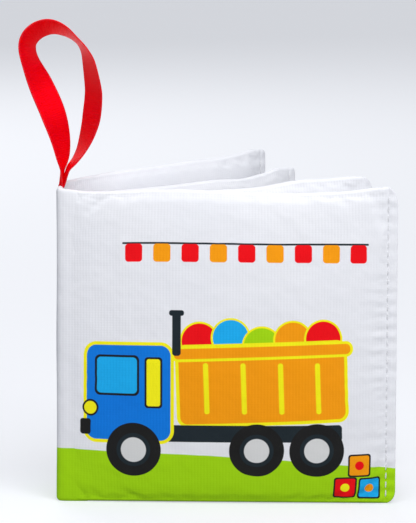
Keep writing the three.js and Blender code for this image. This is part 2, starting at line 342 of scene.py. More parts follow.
@dataclass(frozen=True)
class Finish:
    """A real material, by its common name and how its surface was made."""

    name: str

    def material(self) -> Material:
        """Builds the material, with nothing in it but the finish's surface.

        Returns:
            The material.
        """
        material = bpy.data.materials.new(self.name)
        material.use_nodes = True
        tree = material.node_tree
        tree.nodes.clear()
        add_node(tree, "ShaderNodeOutputMaterial", {0: self.surface(tree)})
        return material

    def surface(self, tree: NodeTree) -> Node:
        """Builds the surface's nodes in a tree and gives the shader."""
        raise NotImplementedError


@dataclass(frozen=True)
class PrintedCloth(Finish):
    """Polyester tricot with a dye-sublimation print: smooth, closely knitted, with a soft bloom.

    The dye colours the yarn itself, so a print has the cloth's own sheen and a slightly soft edge.
    """

    shapes: tuple[PrintShape, ...] = ()
    white: str = "#F4F4F7"
    drifted: str = "#ECEDF2"  # the same white where it has drifted
    rib_pitch: float = 1.1  # real ribs are 0.4 mm apart, drawn coarser so that they show
    row_pitch: float = 0.8  # rows of loops, as a share of the ribs'
    row_share: float = 0.3  # how much of the relief the rows have
    edge: float = 0.22  # how far the dye bleeds

    def surface(self, tree: NodeTree) -> Node:
        """Builds the knitted and printed surface on the cloth's UV map.

        Args:
            tree: the material's tree.

        Returns:
            The shader.
        """
        cloth = add_node(tree, "ShaderNodeUVMap", uv_map="cloth")
        place = add_node(tree, "ShaderNodeVectorMath", {0: cloth, 1: (PRINT_UNIT,) * 3},
                         operation="MULTIPLY")
        drift = add_node(tree, "ShaderNodeTexNoise", {"Vector": place, "Scale": 0.03})
        colour = add_node(tree, "ShaderNodeMix", {0: drift, MIX_A: srgb(self.white),
                                                  MIX_B: srgb(self.drifted)}, data_type="RGBA")
        for shape in self.shapes:
            colour = self.printed(tree, place, colour, shape)
        ribs = self.ribs(tree, place)
        slub = add_node(tree, "ShaderNodeTexNoise", {"Vector": place, "Scale": 0.11})
        # painted shade: the colour is darkened a little between the ribs, where the relief is low
        shade = add_node(tree, "ShaderNodeMapRange", {0: ribs, 1: -1.0, 2: 1.0, 3: 0.986, 4: 1.0})
        shaded = add_node(tree, "ShaderNodeVectorMath", {0: colour.outputs[MIXED], 3: shade},
                          operation="SCALE")
        fine = add_node(tree, "ShaderNodeBump", {"Strength": 0.1, "Distance": 0.0002, "Height": ribs})
        coarse = add_node(tree, "ShaderNodeBump", {"Strength": 0.35, "Distance": 0.0012,
                                                   "Height": slub, "Normal": fine})
        gloss = add_node(tree, "ShaderNodeMapRange", {0: slub, 1: 0.3, 2: 0.7, 3: 0.72, 4: 0.82})
        return add_node(tree, "ShaderNodeBsdfPrincipled",
                        {"Base Color": shaded, "Roughness": gloss, "Normal": coarse, "IOR": 1.5,
                         "Specular IOR Level": 0.18, "Sheen Weight": 0.1, "Sheen Roughness": 0.45})

    def ribs(self, tree: NodeTree, place: Node) -> Node:
        """Makes the knit's relief: upright ribs, crossed by much weaker rows of loops.

        Args:
            tree: the material's tree.
            place: gives the place on the cloth, in millimetres.

        Returns:
            The relief, from about -1 between ribs to 1 on them.
        """
        turns = 2 * math.pi / self.rib_pitch, 2 * math.pi / (self.rib_pitch * self.row_pitch)
        phase = add_node(tree, "ShaderNodeVectorMath", {0: place, 1: (*turns, 1.0)},
                         operation="MULTIPLY")
        wave = add_node(tree, "ShaderNodeVectorMath", {0: phase}, operation="SINE")
        split = add_node(tree, "ShaderNodeSeparateXYZ", {0: wave})
        rows = add_node(tree, "ShaderNodeMath", {0: split.outputs[1], 1: self.row_share},
                        operation="MULTIPLY")
        return add_node(tree, "ShaderNodeMath", {0: split, 1: 1 - self.row_share, 2: rows},
                        operation="MULTIPLY_ADD")

    def printed(self, tree: NodeTree, place: Node, under: Node, shape: PrintShape) -> Node:
        """Lays one printed shape over what is printed so far.

        Args:
            tree: the material's tree.
            place: gives the place on the cloth, in millimetres.
            under: the mix of what is printed so far.
            shape: the shape.

        Returns:
            The mix with the shape in it.
        """
        local = add_node(tree, "ShaderNodeMapping",
                         {0: place, 1: (*shape.place, 0.0), 2: (0.0, 0.0, math.radians(shape.turn))},
                         vector_type="TEXTURE")
        folded = add_node(tree, "ShaderNodeVectorMath", {0: local}, operation="ABSOLUTE")
        core = (shape.half[0] - shape.corner, shape.half[1] - shape.corner, 1.0)
        beyond = add_node(tree, "ShaderNodeVectorMath", {0: folded, 1: core}, operation="SUBTRACT")
        outside = add_node(tree, "ShaderNodeVectorMath", {0: beyond, 1: (0.0, 0.0, 0.0)},
                           operation="MAXIMUM")
        reach = add_node(tree, "ShaderNodeVectorMath", {0: outside}, operation="LENGTH").outputs[1]
        outlined = [(shape.outline, shape.outline_colour)] if shape.outline else []
        for grown, dye in (*outlined, (0.0, shape.colour)):
            limit = shape.corner + grown
            mask = add_node(tree, "ShaderNodeMapRange",
                            {0: reach, 1: limit + self.edge / 2, 2: limit - self.edge / 2})
            under = add_node(tree, "ShaderNodeMix", {0: mask, MIX_A: under.outputs[MIXED],
                                                     MIX_B: srgb(dye)}, data_type="RGBA")
        return under


@dataclass(frozen=True)
class GrainedFinish(Finish):
    """A finish with one fine grain on Object coordinates, which both tints it and stands out of it."""

    tones: tuple[str, str]  # at the grain's lows and highs
    relief: tuple[float, float]  # the grain's strength, and its depth in metres
    shading: tuple[tuple[str, float], ...]  # the shader's own inputs

    def grain(self, tree: NodeTree, place: NodeSocket) -> Node:
        """Builds the grain at a place and gives its texture."""
        raise NotImplementedError

    def surface(self, tree: NodeTree) -> Node:
        """Builds the grained surface.

        Args:
            tree: the material's tree.

        Returns:
            The shader.
        """
        grain = self.grain(tree, add_node(tree, "ShaderNodeTexCoord").outputs["Object"])
        tone = add_node(tree, "ShaderNodeMix", {0: grain, MIX_A: srgb(self.tones[0]),
                                                MIX_B: srgb(self.tones[1])}, data_type="RGBA")
        strength, depth = self.relief
        relief = add_node(tree, "ShaderNodeBump", {"Strength": strength, "Distance": depth,
                                                   "Height": grain})
        return add_node(tree, "ShaderNodeBsdfPrincipled",
                        {"Base Color": tone.outputs[MIXED], "Normal": relief, **dict(self.shading)})


@dataclass(frozen=True)
class FoamFinish(GrainedFinish):
    """Open-cell polyurethane foam, cut from a block: pale cream, quite matt, pricked with cells."""

    name: str = "polyurethane_foam_cut"
    tones: tuple[str, str] = ("#CFC39B", "#F3ECD2")
    relief: tuple[float, float] = (0.6, 0.0005)
    shading: tuple[tuple[str, float], ...] = (("Roughness", 0.95), ("IOR", 1.45))
    cells_per_metre: float = 900.0  # cells about 1.1 mm across

    def grain(self, tree: NodeTree, place: NodeSocket) -> Node:
        """Pricks the foam with its cells."""
        return add_node(tree, "ShaderNodeTexVoronoi", {"Vector": place, "Scale": self.cells_per_metre})


@dataclass(frozen=True)
class SqueakerFinish(GrainedFinish):
    """Low-density polyethylene, blow-moulded: milky, waxy, with a faint orange peel."""

    name: str = "polyethylene_blow_moulded"
    tones: tuple[str, str] = ("#E9EDF2", "#DDE3EA")
    relief: tuple[float, float] = (0.15, 0.0002)
    shading: tuple[tuple[str, float], ...] = (
        ("Roughness", 0.42), ("IOR", 1.51), ("Subsurface Weight", 0.12), ("Subsurface Scale", 0.004))
    dimples_per_metre: float = 700.0  # the orange peel's dimples are about 1.4 mm across

    def grain(self, tree: NodeTree, place: NodeSocket) -> Node:
        """Dimples the plastic."""
        return add_node(tree, "ShaderNodeTexNoise", {"Vector": place, "Scale": self.dimples_per_metre})


@dataclass(frozen=True)
class ThreadFinish(GrainedFinish):
    """Spun polyester sewing thread: two twisted plies, off-white, slightly hairy."""

    name: str = "polyester_sewing_thread"
    tones: tuple[str, str] = ("#D9DADF", "#F2F2F2")
    relief: tuple[float, float] = (0.5, 0.0001)
    shading: tuple[tuple[str, float], ...] = (("Roughness", 0.6), ("IOR", 1.5), ("Sheen Weight", 0.2))
    twist: float = 0.6  # how far round the plies lean, in radians
    plies: float = 620.0  # the wave's scale, for a ply every 0.5 mm

    def grain(self, tree: NodeTree, place: NodeSocket) -> Node:
        """Twists the thread's plies."""
        slanted = add_node(tree, "ShaderNodeMapping", {0: place, 2: (0.0, self.twist, 0.0)})
        return add_node(tree, "ShaderNodeTexWave", {"Vector": slanted, "Scale": self.plies},
                        bands_direction="Z")


@dataclass(frozen=True)
class SatinRibbonFinish(Finish):
    """Polyester satin ribbon, woven with long warp floats: a clear sheen along it, partly painted, corded
    edges.
    """

    name: str = "polyester_satin_ribbon"
    # painted sheen: the lit red and the shaded red below are mixed in streaks along the ribbon
    colour: str = "#FF0418"
    shaded: str = "#F6000F"
    # painted highlight: the corded edges are a lighter red
    edge: str = "#FA2430"
    cord: tuple[float, float] = (0.43, 0.46)  # where the corded edge starts, in widths from the middle
    sheen: float = 0.2  # the dyed floats colour what they reflect, as a little metal does
    gloss_tint: str = "#FF5050"
    glow: float = 1.0  # how much light comes through, thin as it is
    pick_pitch: float = 0.8  # real picks are 0.25 mm apart, drawn coarser so that they show
    pick_depth: float = 0.35  # against the corded edge's
    painted_sheen_streaks: tuple[float, float] = (26.0, 0.12)  # painted sheen: how many streaks to its width, and to a millimetre along it

    def surface(self, tree: NodeTree) -> Node:
        """Builds the woven surface on the UV map: U across in widths, V along in millimetres.

        Args:
            tree: the material's tree.

        Returns:
            The shader.
        """
        cloth = add_node(tree, "ShaderNodeUVMap", uv_map="cloth")
        parts = add_node(tree, "ShaderNodeSeparateXYZ", {0: cloth})
        across = add_node(tree, "ShaderNodeMath", {0: parts, 1: 0.5}, operation="SUBTRACT")
        from_middle = add_node(tree, "ShaderNodeMath", {0: across}, operation="ABSOLUTE")
        # the corded edges: raised in the relief, and painted a lighter red as a painted highlight
        cord_and_painted_highlight = add_node(tree, "ShaderNodeMapRange",
                           {0: from_middle, 1: self.cord[0], 2: self.cord[1]})
        turns = add_node(tree, "ShaderNodeMath",
                         {0: parts.outputs[1], 1: 2 * math.pi / self.pick_pitch}, operation="MULTIPLY")
        picks = add_node(tree, "ShaderNodeMath", {0: turns}, operation="SINE")
        # painted sheen: streaks of lighter and darker red along the ribbon
        stretched = add_node(tree, "ShaderNodeMapping", {0: cloth, 3: (*self.painted_sheen_streaks, 1.0)})
        painted_sheen_streaks = add_node(tree, "ShaderNodeTexNoise", {"Vector": stretched, "Scale": 1.0})
        body = add_node(tree, "ShaderNodeMix", {0: painted_sheen_streaks, MIX_A: srgb(self.shaded),
                                                MIX_B: srgb(self.colour)}, data_type="RGBA")
        painted_edge_highlight = add_node(tree, "ShaderNodeMix", {0: cord_and_painted_highlight, MIX_A: body.outputs[MIXED],
                                                 MIX_B: srgb(self.edge)}, data_type="RGBA")
        height = add_node(tree, "ShaderNodeMath", {0: picks, 1: self.pick_depth, 2: cord_and_painted_highlight},
                          operation="MULTIPLY_ADD")
        relief = add_node(tree, "ShaderNodeBump", {"Strength": 0.25, "Distance": 0.0002,
                                                   "Height": height})
        return add_node(tree, "ShaderNodeBsdfPrincipled",
                        {"Base Color": painted_edge_highlight.outputs[MIXED], "Roughness": 0.36, "IOR": 1.5,
                         "Metallic": self.sheen, "Specular IOR Level": 0.1,
                         "Specular Tint": srgb(self.gloss_tint), "Subsurface Weight": self.glow,
                         "Subsurface Scale": 0.004, "Normal": relief})


@dataclass
class PaddedLeaf:
    """One leaf: two cloth panels sewn round foam, turned out, and topstitched along the fore-edge.

    Its own x runs from its hinge line to its fore-edge, y is its thickness and z is up, in
    millimetres.
    """

    name: str  # its body's too
    panels: tuple[str, str]
    hinge_line: float  # y of its hinge line in the frame
    angle: float  # degrees that it stands round from the front cover
    faces: tuple[Material, Material]  # front and back cloth
    width: float = 120.0
    height: float = 109.5
    half: float = 3.5  # half of its thickness at the crown
    root: float = 1.4  # hinge line to the root's seam
    peak: float = 0.6  # where the crown is highest, as a share of the way to the topstitching
    rise: float = 1.0  # how the crown rises to its peak: less than 1 is steeper at the root
    fall: float = 0.5
    squareness: float = 0.3  # the same towards the top and the foot
    top_dips: tuple[tuple[float, float, float], ...] = ()  # place, reach and depth along the top seam
    corners: tuple[float, float, float] = (3.7, 6.6, 4.6)  # across, up at the top, up at the foot
    dents: tuple[tuple[float, float, float, float, float], ...] = ()  # x, z, reaches, depth; front
    phase: float = 0.0  # shifts its creases against the other leaves'
    columns: int = 60
    rows: int = 120
    seam_half: float = 0.75
    seam_reach: float = 2.5  # how far the seams hold the cloth
    flange: float = 3.6
    flange_half: float = 0.85
    flange_lines: tuple[float, ...] = (1.13, 1.3, 1.55, 1.8, 2.0)
    flange_roll: float = 0.36  # how much thinner the flange is at its edge
    roll_start: float = 0.7
    least_flange: float = 0.3  # what a round corner leaves of it
    groove_half: float = 0.5
    groove_reach: float = 0.9
    top_draw_in: float = 1.4
    foot_cut: float = 0.5  # the filling's curve goes on this far below the foot
    foot_clear: float = 0.04  # the lowest that a leaf comes to the table
    pucker_pitch: float = 4.8  # along the topstitching, in the photograph
    pucker: float = 0.3
    proud: float = 0.15  # how far the filling may swell past the CAD thickness
    proud_from: float = 22.0  # not nearer the spine than this
    least_fill: float = 0.72  # how far it may sink, as a share of that thickness
    most_shift: float = 1.3  # how far filling it may move a point
    underfill: float = 0.82  # how full it is before Cloth fills it
    ripple: float = 0.12  # on the cloth before it is filled
    ripple_run: tuple[float, float] = (5.1, 4.3)
    gather: float = 0.11  # depth of the folds that the top and foot seams draw in
    settle: float = 4.0  # the ends over which creases grow to their full depth
    pucker_spread: tuple[float, float] = (0.8, 4.2)  # how soon they set in, and how far they reach
    flange_fade: float = 1.4  # how much sooner they fade on the flange
    gather_run: float = 1.25  # one fold's length over 2 pi
    gather_spread: tuple[float, float] = (0.9, 3.2)
    spare_cloth: float = 0.025  # share by which the panels are larger than their seams
    edge_inset: float = 0.6  # outline to the panels' last row
    lip_inset: float = 0.05
    lip_half: float = 0.4
    groove_inset: float = 0.3  # the seam itself lies this far in
    tail_half: float = 0.35  # the seam allowance that goes into the spine
    tail_start: float = 0.75
    tail_lap: float = 1.2  # how far it laps the root, and the least root that has one
    tail_rows: int = 40
    tail_inset: float = 1.0  # from the top and the foot

    @property
    def stitch(self) -> float:
        """Where the topstitching runs, from the hinge line."""
        return self.width - self.flange

    def waves(self, run: Grid, *waves: tuple[float, float, float]) -> Grid:
        """Adds up waves along a run, each given by its height, its length and its share of the phase."""
        return sum(height * np.sin(run / length + share * self.phase) for height, length, share in waves)

    def half_thickness(self, x: Grid, z: Grid) -> Grid:
        """Gives half of the filled leaf's thickness.

        Args:
            x: places from the hinge line.
            z: heights.

        Returns:
            The half thickness at each place.
        """
        share = np.clip((x - self.root) / (self.stitch - self.root), 0, 1)
        rising = np.sin(np.pi / 2 * np.clip(share / self.peak, 0, 1)) ** self.rise
        falling = np.cos(np.pi / 2 * np.clip((share - self.peak) / (1 - self.peak), 0, 1))
        across = np.where(share < self.peak, rising, np.maximum(falling, 0) ** self.fall)
        raised = (z + self.foot_cut) / (self.height + self.foot_cut)
        up = np.maximum(np.sin(np.pi * np.clip(raised, 0, 1)), 0) ** self.squareness
        filled = self.seam_half + (self.half - self.seam_half) * across * up
        groove = np.clip(1 - np.abs(x - self.stitch) / self.groove_reach, 0, 1)
        rolled = np.clip((x - self.stitch - self.roll_start) / (self.flange - self.roll_start), 0, 1)
        flat = np.where(x > self.stitch, self.flange_half - self.flange_roll * rolled, filled)
        return flat + (self.groove_half - flat) * ease(groove)

    def outline(self, across: Grid, up: Grid, inset: float) -> tuple[Grid, Grid]:
        """Places points inside the leaf's outline, which has round fore-edge corners.

        Args:
            across: 0 at the root, 1 at the topstitching and 2 at the fore-edge.
            up: 0 at the foot and 1 at the top.
            inset: how far inside the outline 0 and 1 or 2 are.

        Returns:
            x and z, flat, before the top seam is drawn in.
        """
        z = inset + up * (self.height - 2 * inset)
        corner, at_top, at_foot = self.corners
        share = np.clip(np.maximum(1 - (self.height - z) / at_top, 1 - z / at_foot), 0, 1)
        reach = self.width - corner * (1 - np.sqrt(1 - share ** 2)) - inset
        start = self.root + inset
        line = np.minimum(self.stitch, reach - self.least_flange)
        x = np.where(across <= 1, start + (line - start) * across, line + (reach - line) * (across - 1))
        return x, z

    def drawn_in(self, x: Grid, z: Grid) -> Grid:
        """Gives how far the cloth is drawn down, all along the top seam and at its dips.

        Args:
            x: places from the hinge line.
            z: heights.

        Returns:
            The drop at each place.
        """
        share = z / self.height
        drop = self.top_draw_in * np.sin(np.pi * np.clip(x / self.width, 0, 1)) * share ** 4
        for place, reach, depth in self.top_dips:
            drop = drop + depth * np.exp(-((x - place) / reach) ** 2) * share ** 8
        return drop

    def build(self) -> Object:
        """Builds, fills and places the leaf, and ties it to its body.

        Returns:
            The leaf.
        """
        across = np.concatenate([spread(self.columns), self.flange_lines])
        columns, rows = len(across), self.rows
        across, up = np.meshgrid(across, spread(rows), indexing="ij")
        rim = tuple(np.array(border(columns, rows)).T)
        x, z = self.outline(across, up, self.edge_inset)
        half = self.half_thickness(x, z)
        lip_x, lip_z = self.outline(across[rim], up[rim], self.lip_inset)
        lip_half = np.full_like(lip_x, self.lip_half)
        seam_x, seam_z = self.outline(across[rim], up[rim], self.groove_inset)
        layers = [(x, -half, z), (x, half, z), (lip_x, -lip_half, lip_z),
                  (seam_x, 0 * seam_x, seam_z), (lip_x, lip_half, lip_z)]
        flat = np.concatenate([np.stack([part.ravel() for part in layer], axis=1) for layer in layers])
        faces, backs = shell_faces(columns, rows, rings=3)
        loose = np.concatenate([self.looseness(across, up).ravel()] * 2 + [np.zeros(3 * len(lip_x))])
        shaped = self.crease(self.fill(flat, faces, loose), flat, loose)
        shaped[:, 2] -= self.drawn_in(flat[:, 0], flat[:, 2])
        shaped[:, 2] = np.maximum(shaped[:, 2], self.foot_clear)
        if self.root > self.tail_lap:
            tail, tail_faces = self.seam_tail(len(shaped))
            shaped, flat = np.concatenate([shaped, tail]), np.concatenate([flat, tail])
            faces, backs = faces + tail_faces, backs + [False] * len(tail_faces)
        obj = mesh_object(self.name, self.in_frame(shaped), faces, self.faces)
        for polygon, is_back in zip(obj.data.polygons, backs):
            polygon.material_index = int(is_back)
        seen_from_back = np.stack([self.width - flat[:, 0], flat[:, 2]], axis=1)
        lay_out_cloth(obj, flat[:, [0, 2]] / PRINT_UNIT, seen_from_back / PRINT_UNIT)
        face_outwards(obj)
        subdivide(obj)
        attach(obj, self.name)
        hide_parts(*self.panels)
        return obj

    def seam_tail(self, first: int) -> tuple[Grid, Faces]:
        """Makes the seam allowance that runs from the root into the spine.

        Args:
            first: the number of its first vertex.

        Returns:
            Its points, in the leaf's own millimetres, and its faces.
        """
        z = np.linspace(self.tail_inset, self.height - self.tail_inset, self.tail_rows)
        wave = self.waves(z, (0.08, 3.1, 1.0))
        points = [np.stack([np.full_like(z, x), side.value * self.tail_half + wave, z], axis=1)
                  for side in Side for x in (self.tail_start, self.root + self.tail_lap)]
        return np.concatenate(points), shell_faces(2, self.tail_rows, first=first)[0]

    def looseness(self, across: Grid, up: Grid) -> Grid:
        """Gives how free each point of a panel is.

        Args:
            across: 0 at the root, 1 at the topstitching and 2 at the fore-edge.
            up: 0 at the foot and 1 at the top.

        Returns:
            0 in the seams and on the flange, 1 away from them.
        """
        sides = np.minimum(across, 1 - across) * (self.stitch - self.root)
        ends = np.minimum(up, 1 - up) * self.height
        return np.clip(np.minimum(sides, ends) / self.seam_reach, 0, 1)

    def fill(self, flat: Grid, faces: Faces, loose: Grid) -> Grid:
        """Fills the leaf: Cloth blows it up under a little pressure while its seams stay put.

        Args:
            flat: the leaf's points before it is filled, in millimetres.
            faces: its faces.
            loose: how free each point is.

        Returns:
            The points after it, in millimetres.
        """
        start = flat.copy()
        x, y, z = flat.T
        run_x, run_z = self.ripple_run
        ripple = self.waves(x, (self.ripple, run_x, 1.0)) * self.waves(z, (1.0, run_z, -1.0))
        thin = self.seam_half + self.underfill * (np.abs(y) - self.seam_half) + ripple * loose
        start[:, 1] = np.where(loose > 0, np.sign(y) * thin, y)
        obj = mesh_object(f"{self.name}_filling", start * SIM_SCALE, faces, [])
        face_outwards(obj)
        seams = obj.vertex_groups.new(name="seams")
        for index, freedom in enumerate(loose):
            seams.add([index], float(1 - freedom), "REPLACE")
        cloth = obj.modifiers.new("filling", "CLOTH")
        for name, value in FILLING.items():
            setattr(cloth.settings, name, value)
        cloth.settings.shrink_min = -self.spare_cloth
        cloth.settings.effector_weights.gravity = 0
        cloth.point_cache.frame_start, cloth.point_cache.frame_end = 1, SIM_FRAMES
        scene = bpy.context.scene
        for frame_number in range(1, SIM_FRAMES + 1):
            scene.frame_set(frame_number)
        evaluated = obj.evaluated_get(bpy.context.evaluated_depsgraph_get())
        filled = np.empty(flat.size)
        evaluated.data.vertices.foreach_get("co", filled)
        mesh = obj.data
        bpy.data.objects.remove(obj)
        bpy.data.meshes.remove(mesh)
        scene.frame_set(1)
        return filled.reshape(-1, 3) / SIM_SCALE

    def crease(self, filled: Grid, flat: Grid, loose: Grid) -> Grid:
        """Keeps the filled cloth near its CAD thickness, then creases and dents it.

        Args:
            filled: the filled points.
            flat: the points before that.
            loose: how free each point is.

        Returns:
            The leaf's shape.
        """
        x, half, z = flat[:, 0], np.abs(flat[:, 1]), flat[:, 2]
        side = np.sign(flat[:, 1])
        most = half + np.where(x < self.proud_from, 0.0, self.proud) * loose
        least = self.groove_half + self.least_fill * (half - self.groove_half)
        shift = np.clip(filled - flat, -self.most_shift, self.most_shift)
        shaped = flat + shift * loose[:, None]
        swollen = np.clip(np.abs(filled[:, 1]), np.minimum(least, most), most)
        shaped[:, 1] = np.where(loose > 0, side * swollen, flat[:, 1])
        shaped[:, 1] -= side * self.puckers(x, z)
        shaped[:, 1] -= side * self.gathers(x, z, side)
        for place, height, across, up, depth in self.dents:
            near = np.exp(-((x - place) / across) ** 2 - ((z - height) / up) ** 2)
            shaped[:, 1] += np.where(side < 0, depth * near, 0)
        return shaped

    def puckers(self, x: Grid, z: Grid) -> Grid:
        """Gives how deep the topstitching puckers the cloth on both sides of it.

        Args:
            x: places from the hinge line.
            z: heights.

        Returns:
            The depth at each place, strong and weak by turns up the row.
        """
        turn = 2 * np.pi * z / self.pucker_pitch
        wander = self.waves(z, (0.9, 11.0, 1.0), (0.6, 5.3, -2.0))
        strength = 0.65 + self.waves(z, (0.35, 8.7, 1.7))
        away = np.where(x <= self.stitch, self.stitch - x, (x - self.stitch) * self.flange_fade)
        ends = np.clip(np.minimum(z, self.height - z) / self.settle, 0, 1)
        depth = self.pucker * (1 + np.cos(turn + wander)) * strength
        return depth * beside_seam(away, *self.pucker_spread) * ends

    def gathers(self, x: Grid, z: Grid, side: Grid) -> Grid:
        """Gives how deep the top and foot seams gather the cloth beside them.

        Args:
            x: places from the hinge line.
            z: heights.
            side: -1 on the front and 1 on the back, whose folds lie elsewhere.

        Returns:
            The depth at each place.
        """
        folds = 1 + np.sin(x / self.gather_run + self.waves(x, (1.3, 6.1, 1.0)) + side)
        depth = self.gather * folds * beside_seam(np.minimum(z, self.height - z), *self.gather_spread)
        return depth * np.clip((self.stitch - x) / self.settle, 0, 1)

    def in_frame(self, points: Grid) -> Grid:
        """Turns the leaf's own millimetres to the frame's metres.

        Args:
            points: x from the hinge line, y through the leaf and z up.

        Returns:
            The points in the frame.
        """
        turn = math.radians(self.angle)
        x = points[..., 0] * math.cos(turn) - points[..., 1] * math.sin(turn)
        y = points[..., 0] * math.sin(turn) + points[..., 1] * math.cos(turn) + self.hinge_line
        return np.stack([x, y, points[..., 2]], axis=-1) * MM


@dataclass
class SpineBand:
    """A stretch of the spine's cloth from one leaf to the next, bent round the leaves' roots.

    The cloth is double: an outer skin and a lining. A band that reaches a cover goes on as a single
    layer round the cover's root and sinks into its face, where the real cloth is one piece.
    """

    name: str
    bodies: tuple[str, str]
    node: str
    bend_at: tuple[float, float]  # y where the first body's hold ends and the second's starts
    ends: tuple[float, float]  # y
    cloth: Material
    cover: PaddedLeaf | None = None
    cover_side: Side = Side.FRONT
    height: float = 113.0
    skin: float = 1.3  # the outer skin's distance from the hinge lines
    lining: float = 0.9
    single: float = 0.6  # one layer's thickness
    waver: float = 0.12
    flap_end: float = 10.0  # how far it goes over the cover's face
    flap_start: float = 3.6
    proud: float = 0.1
    buried: float = 0.6
    tuck: float = 0.5  # how far the flap's end is drawn down at the top
    crisp: float = 0.05  # how little its ends are rounded, where the next band goes on
    round_corner: float = 0.4  # hinge line to where the skin leaves the strip
    rim: float = 0.9  # height over which the top and the foot thin out
    rim_rows: tuple[float, ...] = (0.05, 0.3, 0.8)
    body_inset: float = 1.4
    body_rows: int = 52
    stations: int = 9
    inside_bend: tuple[float, float] = (0.847, 1.3)  # from the skin's bend to the lining's: in, along
    print_start: float = -12.0  # U, in millimetres, of a band that reaches no cover

    def heights(self) -> Grid:
        """Gives the rows' heights, closer at the two ends, as one row of an array."""
        body = self.body_inset + (self.height - 2 * self.body_inset) * np.linspace(0, 1, self.body_rows)
        return np.concatenate([self.rim_rows, body, self.height - np.array(self.rim_rows[::-1])])[None, :]

    def strip(self, y: Grid, z: Grid) -> tuple[Grid, Grid]:
        """Gives the straight part of the spine.

        Args:
            y: the stations, as a column.
            z: the rows' heights, as a row.

        Returns:
            The skin and the lining, as x and y per station and row.
        """
        waver = self.waver * np.sin(z / 9.0 + y / 3.0) * np.ones_like(y)
        outer = np.stack([-self.skin + waver, y * np.ones_like(z)], axis=-1)
        inner = np.stack([self.lining * np.ones_like(waver), y * np.ones_like(z)], axis=-1)
        return outer, inner

    def round_cover(self, z: Grid) -> tuple[Grid, Grid, Grid]:
        """Gives the stretch from the strip round the cover's root and over its face.

        Args:
            z: the rows' heights, as a row.

        Returns:
            The outer and the inner points and how far each is drawn down, per station and row,
            from the strip to the flap's end.
        """
        cover, side = self.cover, self.cover_side.value
        turn = math.radians(cover.angle)
        along = np.array([math.cos(turn), math.sin(turn)])
        out = side * np.array([-math.sin(turn), math.cos(turn)])
        hinge = np.array([0.0, cover.hinge_line])

        def face(u: Grid, lift: Grid | float) -> Grid:
            """Gives points that stand proud of the cover's face by lift."""
            off = cover.half_thickness(u + 0 * z, z) + lift
            return hinge + u[..., None] * along + off[..., None] * out

        def bend(first: Grid, corner: Grid, last: Grid) -> Grid:
            """Bends from a first point towards a corner and on to a last point."""
            return first * (1 - t) ** 2 + corner * 2 * t * (1 - t) + last * t ** 2

        t = np.linspace(0, 1, 9)[1:, None, None]
        start = face(np.array([[self.flap_start]]) + 0 * z, self.proud)
        corner_y = start[..., 1] + (-self.skin - start[..., 0]) * along[1] / along[0]
        on_skin = np.full_like(corner_y, -self.skin)
        corner = np.stack([on_skin, corner_y], axis=-1)
        leave_y = np.full_like(corner_y, cover.hinge_line - side * self.round_corner)
        leave = np.stack([on_skin, leave_y], axis=-1)
        inner_leave = leave + np.array([self.skin + self.lining, 0.0])
        inner_corner = corner - out * self.inside_bend[0] + along * self.inside_bend[1]
        u = np.linspace(self.flap_start, self.flap_end, 7)[1:, None] + 0 * z
        sink = (u - self.flap_start) / (self.flap_end - self.flap_start)
        outer_flap = face(u, self.proud - (self.proud + self.buried) * sink ** 1.5)
        inner_flap = outer_flap - out * self.single
        outer = np.concatenate([bend(leave, corner, start), outer_flap])
        inner = np.concatenate([bend(inner_leave, inner_corner, start - out * self.single), inner_flap])
        reach = np.concatenate([t[:, 0] * self.flap_start, u[:, :1]]) + 0 * z
        tuck = np.concatenate([np.zeros((len(t), 1)), self.tuck * sink[:, :1]])
        drop = (cover.drawn_in(reach, z) * np.clip(reach / 3, 0, 1)
                + tuck * np.clip(z / self.height, 0, 1) ** 8)
        return outer, inner, drop

    def build(self) -> Object:
        """Builds the band.

        Returns:
            The band.
        """
        z = self.heights()
        y = np.linspace(*self.ends, self.stations)
        y = np.insert(y, [1, self.stations - 1], [y[0] + self.crisp, y[-1] - self.crisp])[:, None]
        outer, inner = self.strip(y, z)
        drop = np.zeros(outer.shape[:2])
        if self.cover:
            pairs = zip((outer, inner, drop), self.round_cover(z))
            if self.cover_side is Side.FRONT:
                outer, inner, drop = (np.concatenate([bent[::-1], straight]) for straight, bent in pairs)
            else:
                outer, inner, drop = (np.concatenate(pair) for pair in pairs)
        middle = (outer + inner) / 2
        swell = np.clip(np.minimum(z, self.height - z) / self.rim, 0.03, 1)[..., None] ** 0.5
        heights = np.maximum(z - drop, self.rim_rows[0])
        layers = [np.concatenate([middle + (layer - middle) * swell, heights[..., None]], axis=-1)
                  for layer in (outer, inner)]
        points = np.concatenate([layer.reshape(-1, 3) for layer in layers])
        faces, _ = shell_faces(*heights.shape)
        obj = mesh_object(self.name, points * MM, faces, [self.cloth])
        across = self.print_places(layers[0][:, heights.shape[1] // 2, :2])[:, None] + 0 * heights
        places = np.stack([across, heights], axis=-1).reshape(-1, 2) / PRINT_UNIT
        lay_out_cloth(obj, np.concatenate([places, places]))
        face_outwards(obj)
        subdivide(obj)
        bake_modifiers(obj)
        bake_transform(obj)
        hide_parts(self.node)
        return obj

    def print_places(self, path: Grid) -> Grid:
        """Places the band's stations across the print, so that it runs on from the cover's.

        Args:
            path: the skin's points along the band, at mid height.

        Returns:
            Each station's place across the cloth.
        """
        run = np.concatenate([[0], np.cumsum(np.linalg.norm(np.diff(path, axis=0), axis=1))])
        if not self.cover:
            return self.print_start - run
        if self.cover_side is Side.FRONT:
            return self.flap_end - run
        return self.cover.width - self.flap_end + (run[-1] - run)


